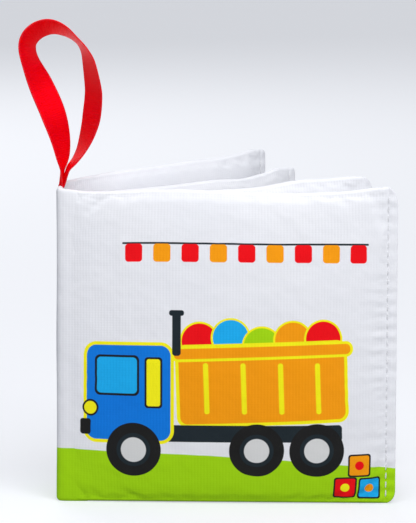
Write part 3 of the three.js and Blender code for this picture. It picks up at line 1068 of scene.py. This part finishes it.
@dataclass
class RibbonLoop:
    """A loop of satin ribbon, both ends sewn into the top of the spine, the same face out all round."""

    satin: Material
    width: float = 10.0
    pinched: float = 3.4
    thickness: float = 0.5
    seat: float = 113.3  # height where the two ends come out of the spine
    loop_height: float = 56.0
    loop_width: float = 25.0
    lean: float = 0.4
    pinch_share: float = 0.09
    cup: float = 0.28  # how far its edges curl
    pleat: float = 0.56  # depth of the pleats where it is gathered
    pleat_turn: float = 5.4  # how far round the pleats go from its middle to its edge, in radians
    across_steps: int = 16
    steps: int = 170
    bend_from: float = 0.6  # below the seat, the ribbon is held
    bend_to: float = 5.0  # above it, the ribbon is free
    sewn_in: tuple[float, float] = (0.2, 8.2)  # below the seat
    sewn_clear: float = 0.5  # room for the leaves' seams, which turn beside it
    sewn_layers: int = 2
    sewn_pitch: float = 0.6
    sewn_half: float = 0.2
    sewn_ripple: float = 0.16
    sewn_steps: tuple[int, int] = (12, 16)
    route: tuple[tuple[float, float, float], ...] = (  # across, up, degrees turned from edge-on
        (0.008, -0.02, 0), (0.024, 0.03, -4), (0.04, 0.151, -22), (0.0, 0.298, -42),
        (-0.105, 0.46, -60), (-0.26, 0.623, -57), (-0.412, 0.777, -36), (-0.46, 0.867, -35),
        (-0.428, 0.928, -40), (-0.327, 0.975, -42), (-0.185, 1.0, -40), (-0.054, 0.997, -34),
        (0.076, 0.973, -26), (0.154, 0.95, -20), (0.223, 0.925, -16), (0.294, 0.893, -16),
        (0.358, 0.846, -21), (0.412, 0.777, -30), (0.474, 0.623, -39), (0.479, 0.541, -42),
        (0.457, 0.444, -43), (0.43, 0.379, -39), (0.376, 0.298, -31), (0.299, 0.216, -20),
        (0.209, 0.151, -12), (0.12, 0.102, -8), (0.062, 0.021, -3), (0.032, -0.02, 0))

    def centreline(self) -> Grid:
        """Samples the route as one smooth curve, evenly along its length.

        Returns:
            Points in millimetres as x, y and z, each with the ribbon's turn in degrees.
        """
        knots = np.array([(across * self.loop_width - self.lean, 0.0,
                           self.seat + up * self.loop_height, turn) for across, up, turn in self.route])
        padded = np.concatenate([[2 * knots[0] - knots[1]], knots, [2 * knots[-1] - knots[-2]]])
        t = np.linspace(0, 1, 24, endpoint=False)[:, None]
        fine = [0.5 * (2 * b + (c - a) * t + (2 * a - 5 * b + 4 * c - d) * t ** 2
                       + (3 * b - 3 * c + d - a) * t ** 3)
                for a, b, c, d in zip(padded, padded[1:], padded[2:], padded[3:])]
        path = np.concatenate(fine + [knots[-1:]])
        steps = np.linalg.norm(np.diff(path[:, :3], axis=0), axis=1)
        run = np.concatenate([[0], np.cumsum(steps)])
        wanted = np.linspace(0, run[-1], self.steps + 1)
        return np.stack([np.interp(wanted, run, path[:, k]) for k in range(4)], axis=1)

    def build(self) -> Object:
        """Builds the loop.

        Returns:
            The loop.
        """
        sampled = self.centreline()
        path, turns = sampled[:, :3], np.radians(sampled[:, 3:])
        ahead = np.gradient(path, axis=0)
        ahead /= np.linalg.norm(ahead, axis=1)[:, None]
        ahead[0], ahead[-1] = (0, 0, 1), (0, 0, -1)
        edge_on = np.array([0.0, 1.0, 0.0])
        flat = edge_on * np.cos(turns) + np.cross(ahead, edge_on) * np.sin(turns)
        through = np.cross(flat, ahead)
        length = float(np.sum(np.linalg.norm(np.diff(path, axis=0), axis=1)))
        share = np.linspace(0, 1, self.steps + 1)[:, None]
        offset = np.linspace(-1, 1, self.across_steps + 1)
        opened = ease(np.minimum(share, 1 - share) / self.pinch_share)
        half = (self.pinched + (self.width - self.pinched) * opened) / 2
        strand = np.where(share < 0.5, 1, -1)
        curl = self.cup * opened * (offset ** 2 - 0.4) * np.sin(9 * share + 0.6)
        pleats = strand * self.pleat * (1 - opened) * np.sin(self.pleat_turn * offset)
        rim = 1 - 0.35 * np.abs(offset) ** 12
        middle = path[:, None] + flat[:, None] * (offset * half)[..., None]
        points = [middle + through[:, None] * (curl + pleats + face * rim * self.thickness / 2)[..., None]
                  for face in (-1, 1)]
        faces, _ = shell_faces(self.steps + 1, self.across_steps + 1)
        obj = mesh_object("satin_ribbon_loop", np.reshape(points, (-1, 3)) * MM, faces, [self.satin])
        places = np.stack(np.broadcast_arrays((offset + 1) / 2, share * length), axis=-1).reshape(-1, 2)
        lay_out_cloth(obj, np.concatenate([places, places]))
        face_outwards(obj)
        subdivide(obj)
        bake_modifiers(obj)
        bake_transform(obj)
        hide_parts("ribbon_loop")
        return obj

    def build_sewn_ends(self) -> Object:
        """Builds the two ends that lie folded together inside the top of the spine.

        Returns:
            The ends, as one folded piece.
        """
        rows, columns = self.sewn_steps
        top, foot = (self.seat - below for below in self.sewn_in)
        up = np.linspace(foot, top, rows + 1)[:, None]
        across = np.linspace(-1, 1, columns + 1)
        ripple = self.sewn_ripple * np.sin(self.pleat_turn * across)
        half_width = self.pinched / 2 - self.sewn_clear
        points, faces = [], []
        for layer in range(self.sewn_layers):
            middle = (layer - self.sewn_layers / 2) * self.sewn_pitch
            faces += shell_faces(rows + 1, columns + 1, first=2 * layer * up.size * across.size)[0]
            for face in (-1, 1):
                grid = np.broadcast_arrays(middle + face * self.sewn_half + ripple,
                                           across * half_width, up)
                points.append(np.stack(grid, axis=-1).reshape(-1, 3))
        obj = mesh_object("ribbon_sewn_ends", np.concatenate(points) * MM, faces, [self.satin])
        places = np.stack(np.broadcast_arrays((across + 1) / 2, up), axis=-1).reshape(-1, 2)
        lay_out_cloth(obj, np.concatenate([places] * len(points)))
        face_outwards(obj)
        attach(obj, "leaf_2")
        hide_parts("loop_sewn_ends")
        return obj


@dataclass
class Topstitching:
    """The row of stitches along a leaf's fore-edge, on both faces, made by Geometry Nodes."""

    leaf: PaddedLeaf
    thread: Material
    pitch: float = 3.2
    stitch_length: float = 2.5
    thickness: float = 0.5
    end_margin: float = 1.6
    sunk: float = 0.04  # how deep a stitch beds into the cloth
    slant: float = 2.5  # degrees that a stitch leans

    def tree(self) -> NodeTree:
        """Builds the tree that lays stitches end to end up a line.

        Returns:
            The tree, with its sizes as inputs in metres.
        """
        tree = bpy.data.node_groups.new("topstitch_row", "GeometryNodeTree")
        sockets = (("Geometry", "INPUT", "Geometry"), ("Count", "INPUT", "Int"),
                   ("Pitch", "INPUT", "Float"), ("Stitch length", "INPUT", "Float"),
                   ("Thread", "INPUT", "Float"), ("First", "INPUT", "Vector"),
                   ("Thread finish", "INPUT", "Material"), ("Geometry", "OUTPUT", "Geometry"))
        for name, way, kind in sockets:
            tree.interface.new_socket(name, in_out=way, socket_type=f"NodeSocket{kind}")
        given = add_node(tree, "NodeGroupInput").outputs
        step = add_node(tree, "ShaderNodeCombineXYZ", {2: given["Pitch"]})
        line = add_node(tree, "GeometryNodeMeshLine", {"Count": given["Count"], "Offset": step,
                                                       "Start Location": given["First"]})
        bead = add_node(tree, "GeometryNodeMeshUVSphere", {"Segments": 8, "Rings": 6, "Radius": 1.0})
        length, thread = (add_node(tree, "ShaderNodeMath", {0: given[size], 1: 0.5},
                                   operation="MULTIPLY") for size in ("Stitch length", "Thread"))
        size = add_node(tree, "ShaderNodeCombineXYZ", {0: thread, 1: thread, 2: length})
        slant = add_node(tree, "FunctionNodeInputVector",
                         vector=(0.0, math.radians(self.slant), 0.0))
        placed = add_node(tree, "GeometryNodeInstanceOnPoints",
                          {"Points": line, "Instance": bead, "Rotation": slant, "Scale": size})
        real = add_node(tree, "GeometryNodeRealizeInstances", {0: placed})
        smooth = add_node(tree, "GeometryNodeSetShadeSmooth", {0: real})
        dressed = add_node(tree, "GeometryNodeSetMaterial",
                           {"Geometry": smooth, "Material": given["Thread finish"]})
        add_node(tree, "NodeGroupOutput", {0: dressed})
        return tree

    def build(self) -> Object:
        """Stitches both faces of the leaf.

        Returns:
            The stitches, as one piece on the leaf's body.
        """
        leaf, name = self.leaf, f"{self.leaf.name}_topstitching"
        tree = self.tree()
        count = int((leaf.height - 2 * self.end_margin) / self.pitch)
        first_z = (leaf.height - (count - 1) * self.pitch) / 2
        both = bmesh.new()
        for side in Side:
            off = side.value * (leaf.groove_half + self.thickness / 2 - self.sunk)
            values = {"Count": count, "Pitch": self.pitch * MM,
                      "Stitch length": self.stitch_length * MM, "Thread": self.thickness * MM,
                      "First": (leaf.stitch * MM, off * MM, first_z * MM),
                      "Thread finish": self.thread}
            obj = mesh_object(f"{leaf.name}_row", np.zeros((0, 3)), [], [])
            modifier = obj.modifiers.new("stitches", "NODES")
            modifier.node_group = tree
            for item in tree.interface.items_tree:
                if item.item_type == "SOCKET" and item.name in values:
                    modifier[item.identifier] = values[item.name]
            row = evaluated_mesh(obj)
            both.from_mesh(row)
            bpy.data.objects.remove(obj)
            bpy.data.meshes.remove(row)
        for vertex in both.verts:
            vertex.co = Vector(leaf.in_frame(np.array(vertex.co) / MM))
        mesh = bpy.data.meshes.new(name)
        both.to_mesh(mesh)
        both.free()
        obj = linked(name, mesh, [self.thread])
        face_outwards(obj)
        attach(obj, leaf.name)
        return obj


@dataclass
class FoamPad:
    """The foam inside a leaf, cut to its hollow, with edges that the cloth has rounded."""

    body: str
    foam: Material
    nodes: dict[str, Object]
    rounding: float = 0.35

    def build(self) -> Object:
        """Builds the pad from the CAD pad's own faces and softens its edges.

        Returns:
            The pad.
        """
        node = f"{self.body}_foam_pad"
        obj = copied_piece(self.nodes[node], f"{node}_soft", self.foam)
        bevel = obj.modifiers.new("cut edges", "BEVEL")
        bevel.width = self.rounding * MM
        bevel.segments = 2
        bevel.limit_method = "ANGLE"
        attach(obj, self.body)
        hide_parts(node)
        return obj


@dataclass
class Squeaker:
    """The squeaker in the front cover's foam: a base with a whistle, bellows, and a cap on them."""

    nodes: dict[str, Object]
    plastic: Material
    travel: float = 2.6  # how far the cap goes in
    crease: float = 40.0  # degrees from which an edge of the bellows stays sharp

    def dress(self) -> None:
        """Gives the rigid CAD parts their plastic."""
        for name in ("squeaker_base", "squeaker_whistle", "squeaker_cap"):
            mesh = self.nodes[name].data
            mesh.materials.clear()
            mesh.materials.append(self.plastic)
            log.info("dressed %s", name)

    def build_bellows(self) -> Object:
        """Builds the bellows from the CAD bellows' faces and ties them to the front cover's body.

        Returns:
            The bellows.
        """
        obj = copied_piece(self.nodes["squeaker_bellows"], "squeaker_bellows_folds", self.plastic)
        obj.data.set_sharp_from_angle(angle=math.radians(self.crease))
        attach(obj, "front_cover")
        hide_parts("squeaker_bellows")
        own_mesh(obj)
        return obj


@dataclass
class PrintedPages:
    """The cloths of the book: simple pictures of a child's toys in flat, bright dyes."""

    width: float = 120.0
    hill_radius: float = 900.0
    hill_top: float = 19.5
    green: str = "#A6DC08"
    orange: str = "#FFA004"
    yellow: str = "#FFF714"
    blue: str = "#037BE2"
    sky_blue: str = "#18B0F2"
    pale_blue: str = "#CFE6F5"
    black: str = "#121212"
    slate: str = "#182329"
    red: str = "#F60010"
    grey: str = "#DDDDDC"

    def hill(self, across: float = 10.0) -> PrintShape:
        """Makes the broad green ground along the foot of a page, highest at that place."""
        return disc(across, self.hill_top - self.hill_radius, self.hill_radius, self.green)

    def wheel(self, across: float, up: float, radius: float) -> list[PrintShape]:
        """Makes a toy wheel: black tyre, slate ring and grey hub."""
        rings = ((1.0, self.black), (0.62, self.slate), (0.46, self.grey))
        return [disc(across, up, radius * share, colour) for share, colour in rings]

    def toy_block(self, across: float, up: float, colour: str, mark: str) -> list[PrintShape]:
        """Makes a toy block: a square with a round spot."""
        return [PrintShape((across, up), (4.1, 4.1), self.black, 1.0),
                PrintShape((across, up), (3.5, 3.5), colour, 0.7), disc(across, up, 1.6, mark)]

    def cloud(self, across: float, up: float, size: float) -> list[PrintShape]:
        """Makes a small cloud of three puffs."""
        puffs = ((-1, 0.0, 0.75), (0, 0.4, 1.0), (1, 0.0, 0.7))
        return [disc(across + x * size, up + z * size, size * share, self.pale_blue)
                for x, z, share in puffs]

    def tipper(self) -> list[PrintShape]:
        """Makes a toy tipper lorry that drives to the left, with balls in its tub.

        Returns:
            Its shapes, the rearmost first, about the middle of the ground under its wheels.
        """
        balls = (self.red, self.sky_blue, self.green, self.orange, self.red)
        return [
            *(disc(-5 + 10.8 * step, 48.0 + 1.6 * math.sin(2.2 * step), 6.2, colour, 0.7, self.yellow)
              for step, colour in enumerate(balls)),
            PrintShape((17.0, 33.0), (29.0, 13.4), self.orange, 2.6, 2.0, 1.2),
            PrintShape((17.0, 44.4), (31.0, 1.8), self.orange, 1.6, 2.0, 1.0),
            *(PrintShape((-2.6 + 13.0 * rib, 31.4), (0.9, 9.0), self.yellow, 0.8, 2.0)
              for rib in range(4)),
            PrintShape((1.0, 15.4), (44.0, 3.0), self.slate, 1.4),
            PrintShape((-30.0, 29.5), (15.0, 16.8), self.blue, 3.6, 0.0, 1.2),
            PrintShape((-34.0, 35.6), (8.0, 7.2), self.black, 1.9),
            PrintShape((-34.0, 35.6), (7.2, 6.4), self.sky_blue, 1.5),
            PrintShape((-21.0, 33.2), (3.1, 9.0), self.black, 1.2),
            PrintShape((-21.0, 33.2), (2.4, 8.3), self.yellow, 0.9),
            PrintShape((-45.4, 17.0), (2.0, 2.8), self.black, 1.0),
            disc(-43.6, 23.8, 2.3, self.yellow, 0.7, self.black),
            PrintShape((-13.0, 50.4), (1.5, 7.6), self.slate, 1.1),
            PrintShape((-13.0, 57.8), (2.6, 1.0), self.slate, 0.9),
            *(shape for place in (-28.0, 15.0, 36.0) for shape in self.wheel(place, 9.3, 9.6))]

    def bunting(self, up: float) -> list[PrintShape]:
        """Makes a line of small flags along the top of a page."""
        flags = [PrintShape((27.0 + 9.8 * flag, up - 1.2), (3.0, 3.2),
                            self.orange if flag % 2 else self.red, 1.2) for flag in range(9)]
        return [PrintShape((66.0, up + 2.2), (43.0, 0.35), self.slate, 0.3), *flags]

    def front(self) -> PrintedCloth:
        """The front cover: a tipper lorry on a green hill, a stack of blocks, flags above."""
        shapes = [*self.bunting(91.0), self.hill(), *(shape.moved(55.0, 11.0) for shape in self.tipper()),
                  *self.toy_block(101.4, 6.4, self.red, self.yellow),
                  *self.toy_block(110.2, 6.0, self.sky_blue, self.orange),
                  *self.toy_block(106.2, 14.6, self.orange, self.red)]
        return PrintedCloth("polyester_tricot_printed_front_cover", tuple(shapes))

    def back(self) -> PrintedCloth:
        """The back cover: the same hill, with three large toy blocks in a row.

        Returns:
            The cover's cloth.
        """
        shapes = [self.hill(self.width - 10.0)]
        colours = ((self.red, self.yellow), (self.orange, self.blue), (self.sky_blue, self.red))
        for step, (colour, mark) in enumerate(colours):
            place = (32.0 + 29.0 * step, 27.0 - 1.2 * step)
            shapes.append(PrintShape(place, (10.2, 10.2), colour, 2.4, 4.0 - 5.0 * step, 1.1))
            shapes.append(disc(*place, 4.6, mark))
        return PrintedCloth("polyester_tricot_printed_back_cover", tuple(shapes))

    def pages(self) -> list[PrintedCloth]:
        """Makes the six inside pages: on each, one toy above the hill, and clouds.

        Returns:
            The pages' cloths, in order.
        """
        rings = [disc(0, 42.0, 19.0, self.red, 1.2), disc(0, 42.0, 12.0, self.yellow),
                 disc(0, 42.0, 6.0, self.sky_blue)]
        blocks = [*self.toy_block(-9, 24.0, self.orange, self.blue),
                  *self.toy_block(1, 24.0, self.red, self.yellow),
                  *self.toy_block(-4, 32.6, self.sky_blue, self.red)]
        rattle = [PrintShape((0, 40.0), (2.0, 20.0), self.slate, 1.6),
                  disc(0, 66.0, 9.0, self.orange, 1.1), disc(-13, 55.0, 7.4, self.red, 1.0),
                  disc(13, 55.0, 7.4, self.sky_blue, 1.0)]
        car = [PrintShape((0, 30.0), (30.0, 7.5), self.blue, 3.0, 0.0, 1.1),
               PrintShape((-6, 42.0), (12.0, 6.0), self.sky_blue, 2.2, 0.0, 1.1),
               *self.wheel(-18, 20.0, 6.6), *self.wheel(18, 20.0, 6.6)]
        stacker = [PrintShape((0, 24.0 + 6 * k), (20.0 - 4.4 * k, 3.0), colour, 2.6)
                   for k, colour in enumerate((self.red, self.orange, self.yellow, self.sky_blue))]
        wagon = [disc(0, 62.0, 13.0, self.yellow, 1.4, self.orange),
                 PrintShape((0, 30.0), (24.0, 10.0), self.orange, 4.0, 0.0, 1.1),
                 *self.wheel(-13, 18.0, 6.0), *self.wheel(13, 18.0, 6.0)]
        middle, clouds = self.width / 2, (*self.cloud(26.0, 82.0, 4.6), *self.cloud(92.0, 76.0, 3.8))
        return [PrintedCloth(f"polyester_tricot_printed_page_{number}",
                             (self.hill(middle), *(shape.moved(middle, 0) for shape in toy), *clouds))
                for number, toy in enumerate((rings, blocks, rattle, car, stacker, wagon), 1)]


@dataclass
class Studio:
    """A pale table under soft lamps, and the camera at the photograph's angle."""

    floor_colour: str = "#B6B7BA"
    bounce_colour: str = "#8E8F93"  # the table as the book sees it, so that little light comes back up
    sky_colour: str = "#E9EFFA"
    sky_light: float = 0.36  # on the book
    sky_shown: float = 0.75  # to the camera
    glow: float = 1.0  # evens out the table far from the lamps; the book isn't lit by it
    floor_radius: float = 9.0
    azimuth: float = -1.18
    elevation: float = 8.24
    roll: float = 0.24
    distance: float = 1.567
    target: tuple[float, float, float] = (0.05225, 0.0084, 0.0847)
    lens: float = 300.8
    lamps: tuple[tuple[str, tuple[float, float, float], float, float], ...] = (  # place, side, watts
        ("soft_box", (0.12, -0.32, 0.62), 0.4, 2.8), ("right_fill", (0.9, -1.0, 0.5), 0.7, 5.2),
        ("left_fill", (-0.9, -1.0, 0.45), 0.7, 2.1), ("back_fill", (-0.3, 1.2, 0.8), 0.8, 6.0))

    def build(self) -> None:
        """Builds the stage, lights it and places the camera."""
        self.build_floor()
        self.build_lamps()
        self.build_sky()
        self.build_camera()

    def shown(self, tree: NodeTree) -> Node:
        """Tells what the camera sees of the table or the sky from what lights the book.

        Args:
            tree: the tree of the table's material or of the world.

        Returns:
            A node that is 1 to the camera, and in gloss and glass, and 0 to diffuse light.
        """
        ray = add_node(tree, "ShaderNodeLightPath").outputs
        seen = add_node(tree, "ShaderNodeMath", {0: ray["Is Camera Ray"], 1: ray["Is Glossy Ray"]},
                        operation="MAXIMUM")
        return add_node(tree, "ShaderNodeMath", {0: seen, 1: ray["Is Transmission Ray"]},
                        operation="MAXIMUM")

    def build_floor(self) -> None:
        """Builds a table so wide that it fills the view from every side."""
        turns = np.linspace(0, 2 * math.pi, 48, endpoint=False)
        points = np.stack([np.cos(turns), np.sin(turns), 0 * turns], axis=1) * self.floor_radius
        material = bpy.data.materials.new("studio_paper_matt")
        material.use_nodes = True
        tree = material.node_tree
        shown = self.shown(tree)
        tone = add_node(tree, "ShaderNodeMix", {0: shown, MIX_A: srgb(self.bounce_colour),
                                                MIX_B: srgb(self.floor_colour)}, data_type="RGBA")
        shader = tree.nodes["Principled BSDF"]
        tree.links.new(tone.outputs[MIXED], shader.inputs["Base Color"])
        glow = add_node(tree, "ShaderNodeMath", {0: shown, 1: self.glow}, operation="MULTIPLY")
        tree.links.new(glow.outputs[0], shader.inputs["Emission Strength"])
        shader.inputs["Emission Color"].default_value = srgb(self.floor_colour)
        shader.inputs["Roughness"].default_value = 0.9
        mesh_object("studio_table", points, [tuple(range(len(turns)))], [material])

    def build_lamps(self) -> None:
        """Hangs a soft box close above the book's front, and weak lamps at both sides and behind."""
        for name, place, side, power in self.lamps:
            data = bpy.data.lights.new(name, "AREA")
            data.size = side
            data.energy = power
            obj = bpy.data.objects.new(name, data)
            obj.location = place
            aim = Vector(self.target) - Vector(place)
            obj.rotation_euler = aim.to_track_quat("-Z", "Y").to_euler()
            bpy.context.scene.collection.objects.link(obj)

    def build_sky(self) -> None:
        """Lights the room softly from all round."""
        world = bpy.data.worlds.new("studio_sky")
        world.use_nodes = True
        tree = world.node_tree
        level = add_node(tree, "ShaderNodeMapRange",
                         {0: self.shown(tree), 3: self.sky_light, 4: self.sky_shown})
        sky = tree.nodes["Background"]
        sky.inputs[0].default_value = srgb(self.sky_colour)
        tree.links.new(level.outputs[0], sky.inputs[1])
        bpy.context.scene.world = world

    def build_camera(self) -> None:
        """Places the camera that the photograph was matched with."""
        azimuth, elevation = math.radians(self.azimuth), math.radians(self.elevation)
        look = Vector((math.sin(azimuth) * math.cos(elevation),
                       math.cos(azimuth) * math.cos(elevation), -math.sin(elevation)))
        data = bpy.data.cameras.new("photograph")
        data.sensor_fit = "AUTO"
        data.sensor_width = 36.0
        data.lens = self.lens
        data.clip_end = 10.0
        camera = bpy.data.objects.new("photograph", data)
        camera.location = Vector(self.target) - look * self.distance
        facing = look.to_track_quat("-Z", "Y") @ Quaternion((0, 0, 1), math.radians(self.roll))
        camera.rotation_euler = facing.to_euler()
        bpy.context.scene.collection.objects.link(camera)
        bpy.context.scene.camera = camera


@dataclass
class SqueakerBook:
    """The whole book: its pages, spine, foam, squeaker and ribbon."""

    nodes: dict[str, Object]

    def build(self) -> None:
        """Builds every piece in order and reports it."""
        pages = PrintedPages()
        front, back = pages.front().material(), pages.back().material()
        leaves = self.leaves(front, [page.material() for page in pages.pages()], back)
        thread, foam = ThreadFinish().material(), FoamFinish().material()
        for leaf in leaves:
            self.report(leaf.build())
            self.report(Topstitching(leaf, thread).build())
            self.report(FoamPad(leaf.name, foam, self.nodes).build())
        for band in (
                SpineBand("spine_band_front", ("front_cover", "leaf_1"), "spine_strip_front",
                          (-7.0, -5.4), (-5.5, -4.4), front, leaves[0], Side.FRONT),
                SpineBand("spine_band_middle", ("leaf_1", "leaf_2"), "spine_strip_middle",
                          (-3.0, -1.4), (-4.4, 0.0), front),
                SpineBand("spine_band_back", ("leaf_2", "back_cover"), "spine_strip_back",
                          (1.4, 3.0), (0.0, 5.5), back, leaves[3], Side.BACK)):
            self.report(band.build())
        ribbon = RibbonLoop(SatinRibbonFinish().material())
        self.report(ribbon.build())
        self.report(ribbon.build_sewn_ends())
        squeaker = Squeaker(self.nodes, SqueakerFinish().material())
        squeaker.dress()
        self.report(squeaker.build_bellows())

    def leaves(self, front: Material, inside: list[Material], back: Material) -> list[PaddedLeaf]:
        """Lists the leaves, from the front cover to the back cover.

        Args:
            front: the front cover's cloth.
            inside: the six inside pages' cloths.
            back: the back cover's cloth.

        Returns:
            The leaves, not yet built.
        """
        return [
            PaddedLeaf("front_cover", ("front_cover_outer_panel", "front_cover_lining_panel"),
                       -6.6, 0.0, (front, inside[0]), height=113.0, half=5.6, root=1.44, peak=0.5,
                       rise=0.5, top_draw_in=0.0, phase=0.4,
                       top_dips=((9.0, 7.0, 0.8), (20.0, 10.0, 0.9), (78.0, 26.0, 1.35),
                                 (115.0, 9.0, -1.25))),
            PaddedLeaf("leaf_1", ("leaf_1_front_panel", "leaf_1_back_panel"),
                       -2.2, 21.7, (inside[1], inside[2]), root=2.27, phase=1.7,
                       corners=(4.2, 4.4, 4.6), top_draw_in=0.2,
                       top_dips=((91.0, 12.0, -2.0), (112.0, 14.0, -2.5)),
                       dents=((115.0, 108.0, 1.0, 1.3, 0.4),)),
            PaddedLeaf("leaf_2", ("leaf_2_front_panel", "leaf_2_back_panel"),
                       2.2, 46.2, (inside[3], inside[4]), root=2.61, phase=2.9,
                       corners=(1.9, 3.0, 3.4), top_dips=((93.0, 11.0, 1.2), (110.0, 3.2, -0.85))),
            PaddedLeaf("back_cover", ("back_cover_lining_panel", "back_cover_outer_panel"),
                       6.6, 53.3, (inside[5], back), height=113.0, half=4.0, root=0.6, phase=4.1,
                       corners=(1.9, 2.2, 3.4), top_draw_in=0.0,
                       top_dips=((9.0, 7.0, -0.4), (22.0, 12.0, -0.5), (45.0, 36.0, -1.3),
                                 (75.0, 14.0, -0.6), (112.0, 18.0, -1.5), (112.0, 5.0, -0.5)),
                       dents=((26.8, 109.8, 0.9, 2.4, 0.6),))]

    def report(self, obj: Object) -> None:
        """Logs a finished piece."""
        log.info("%s: %d faces", obj.name, len(obj.data.polygons))


def main() -> None:
    logging.basicConfig(level=logging.INFO, format="%(message)s")
    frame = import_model()
    bpy.context.scene.view_settings.view_transform = "Standard"
    SqueakerBook(frame["nodes"]).build()
    Studio().build()


if __name__ == "__main__":
    main()
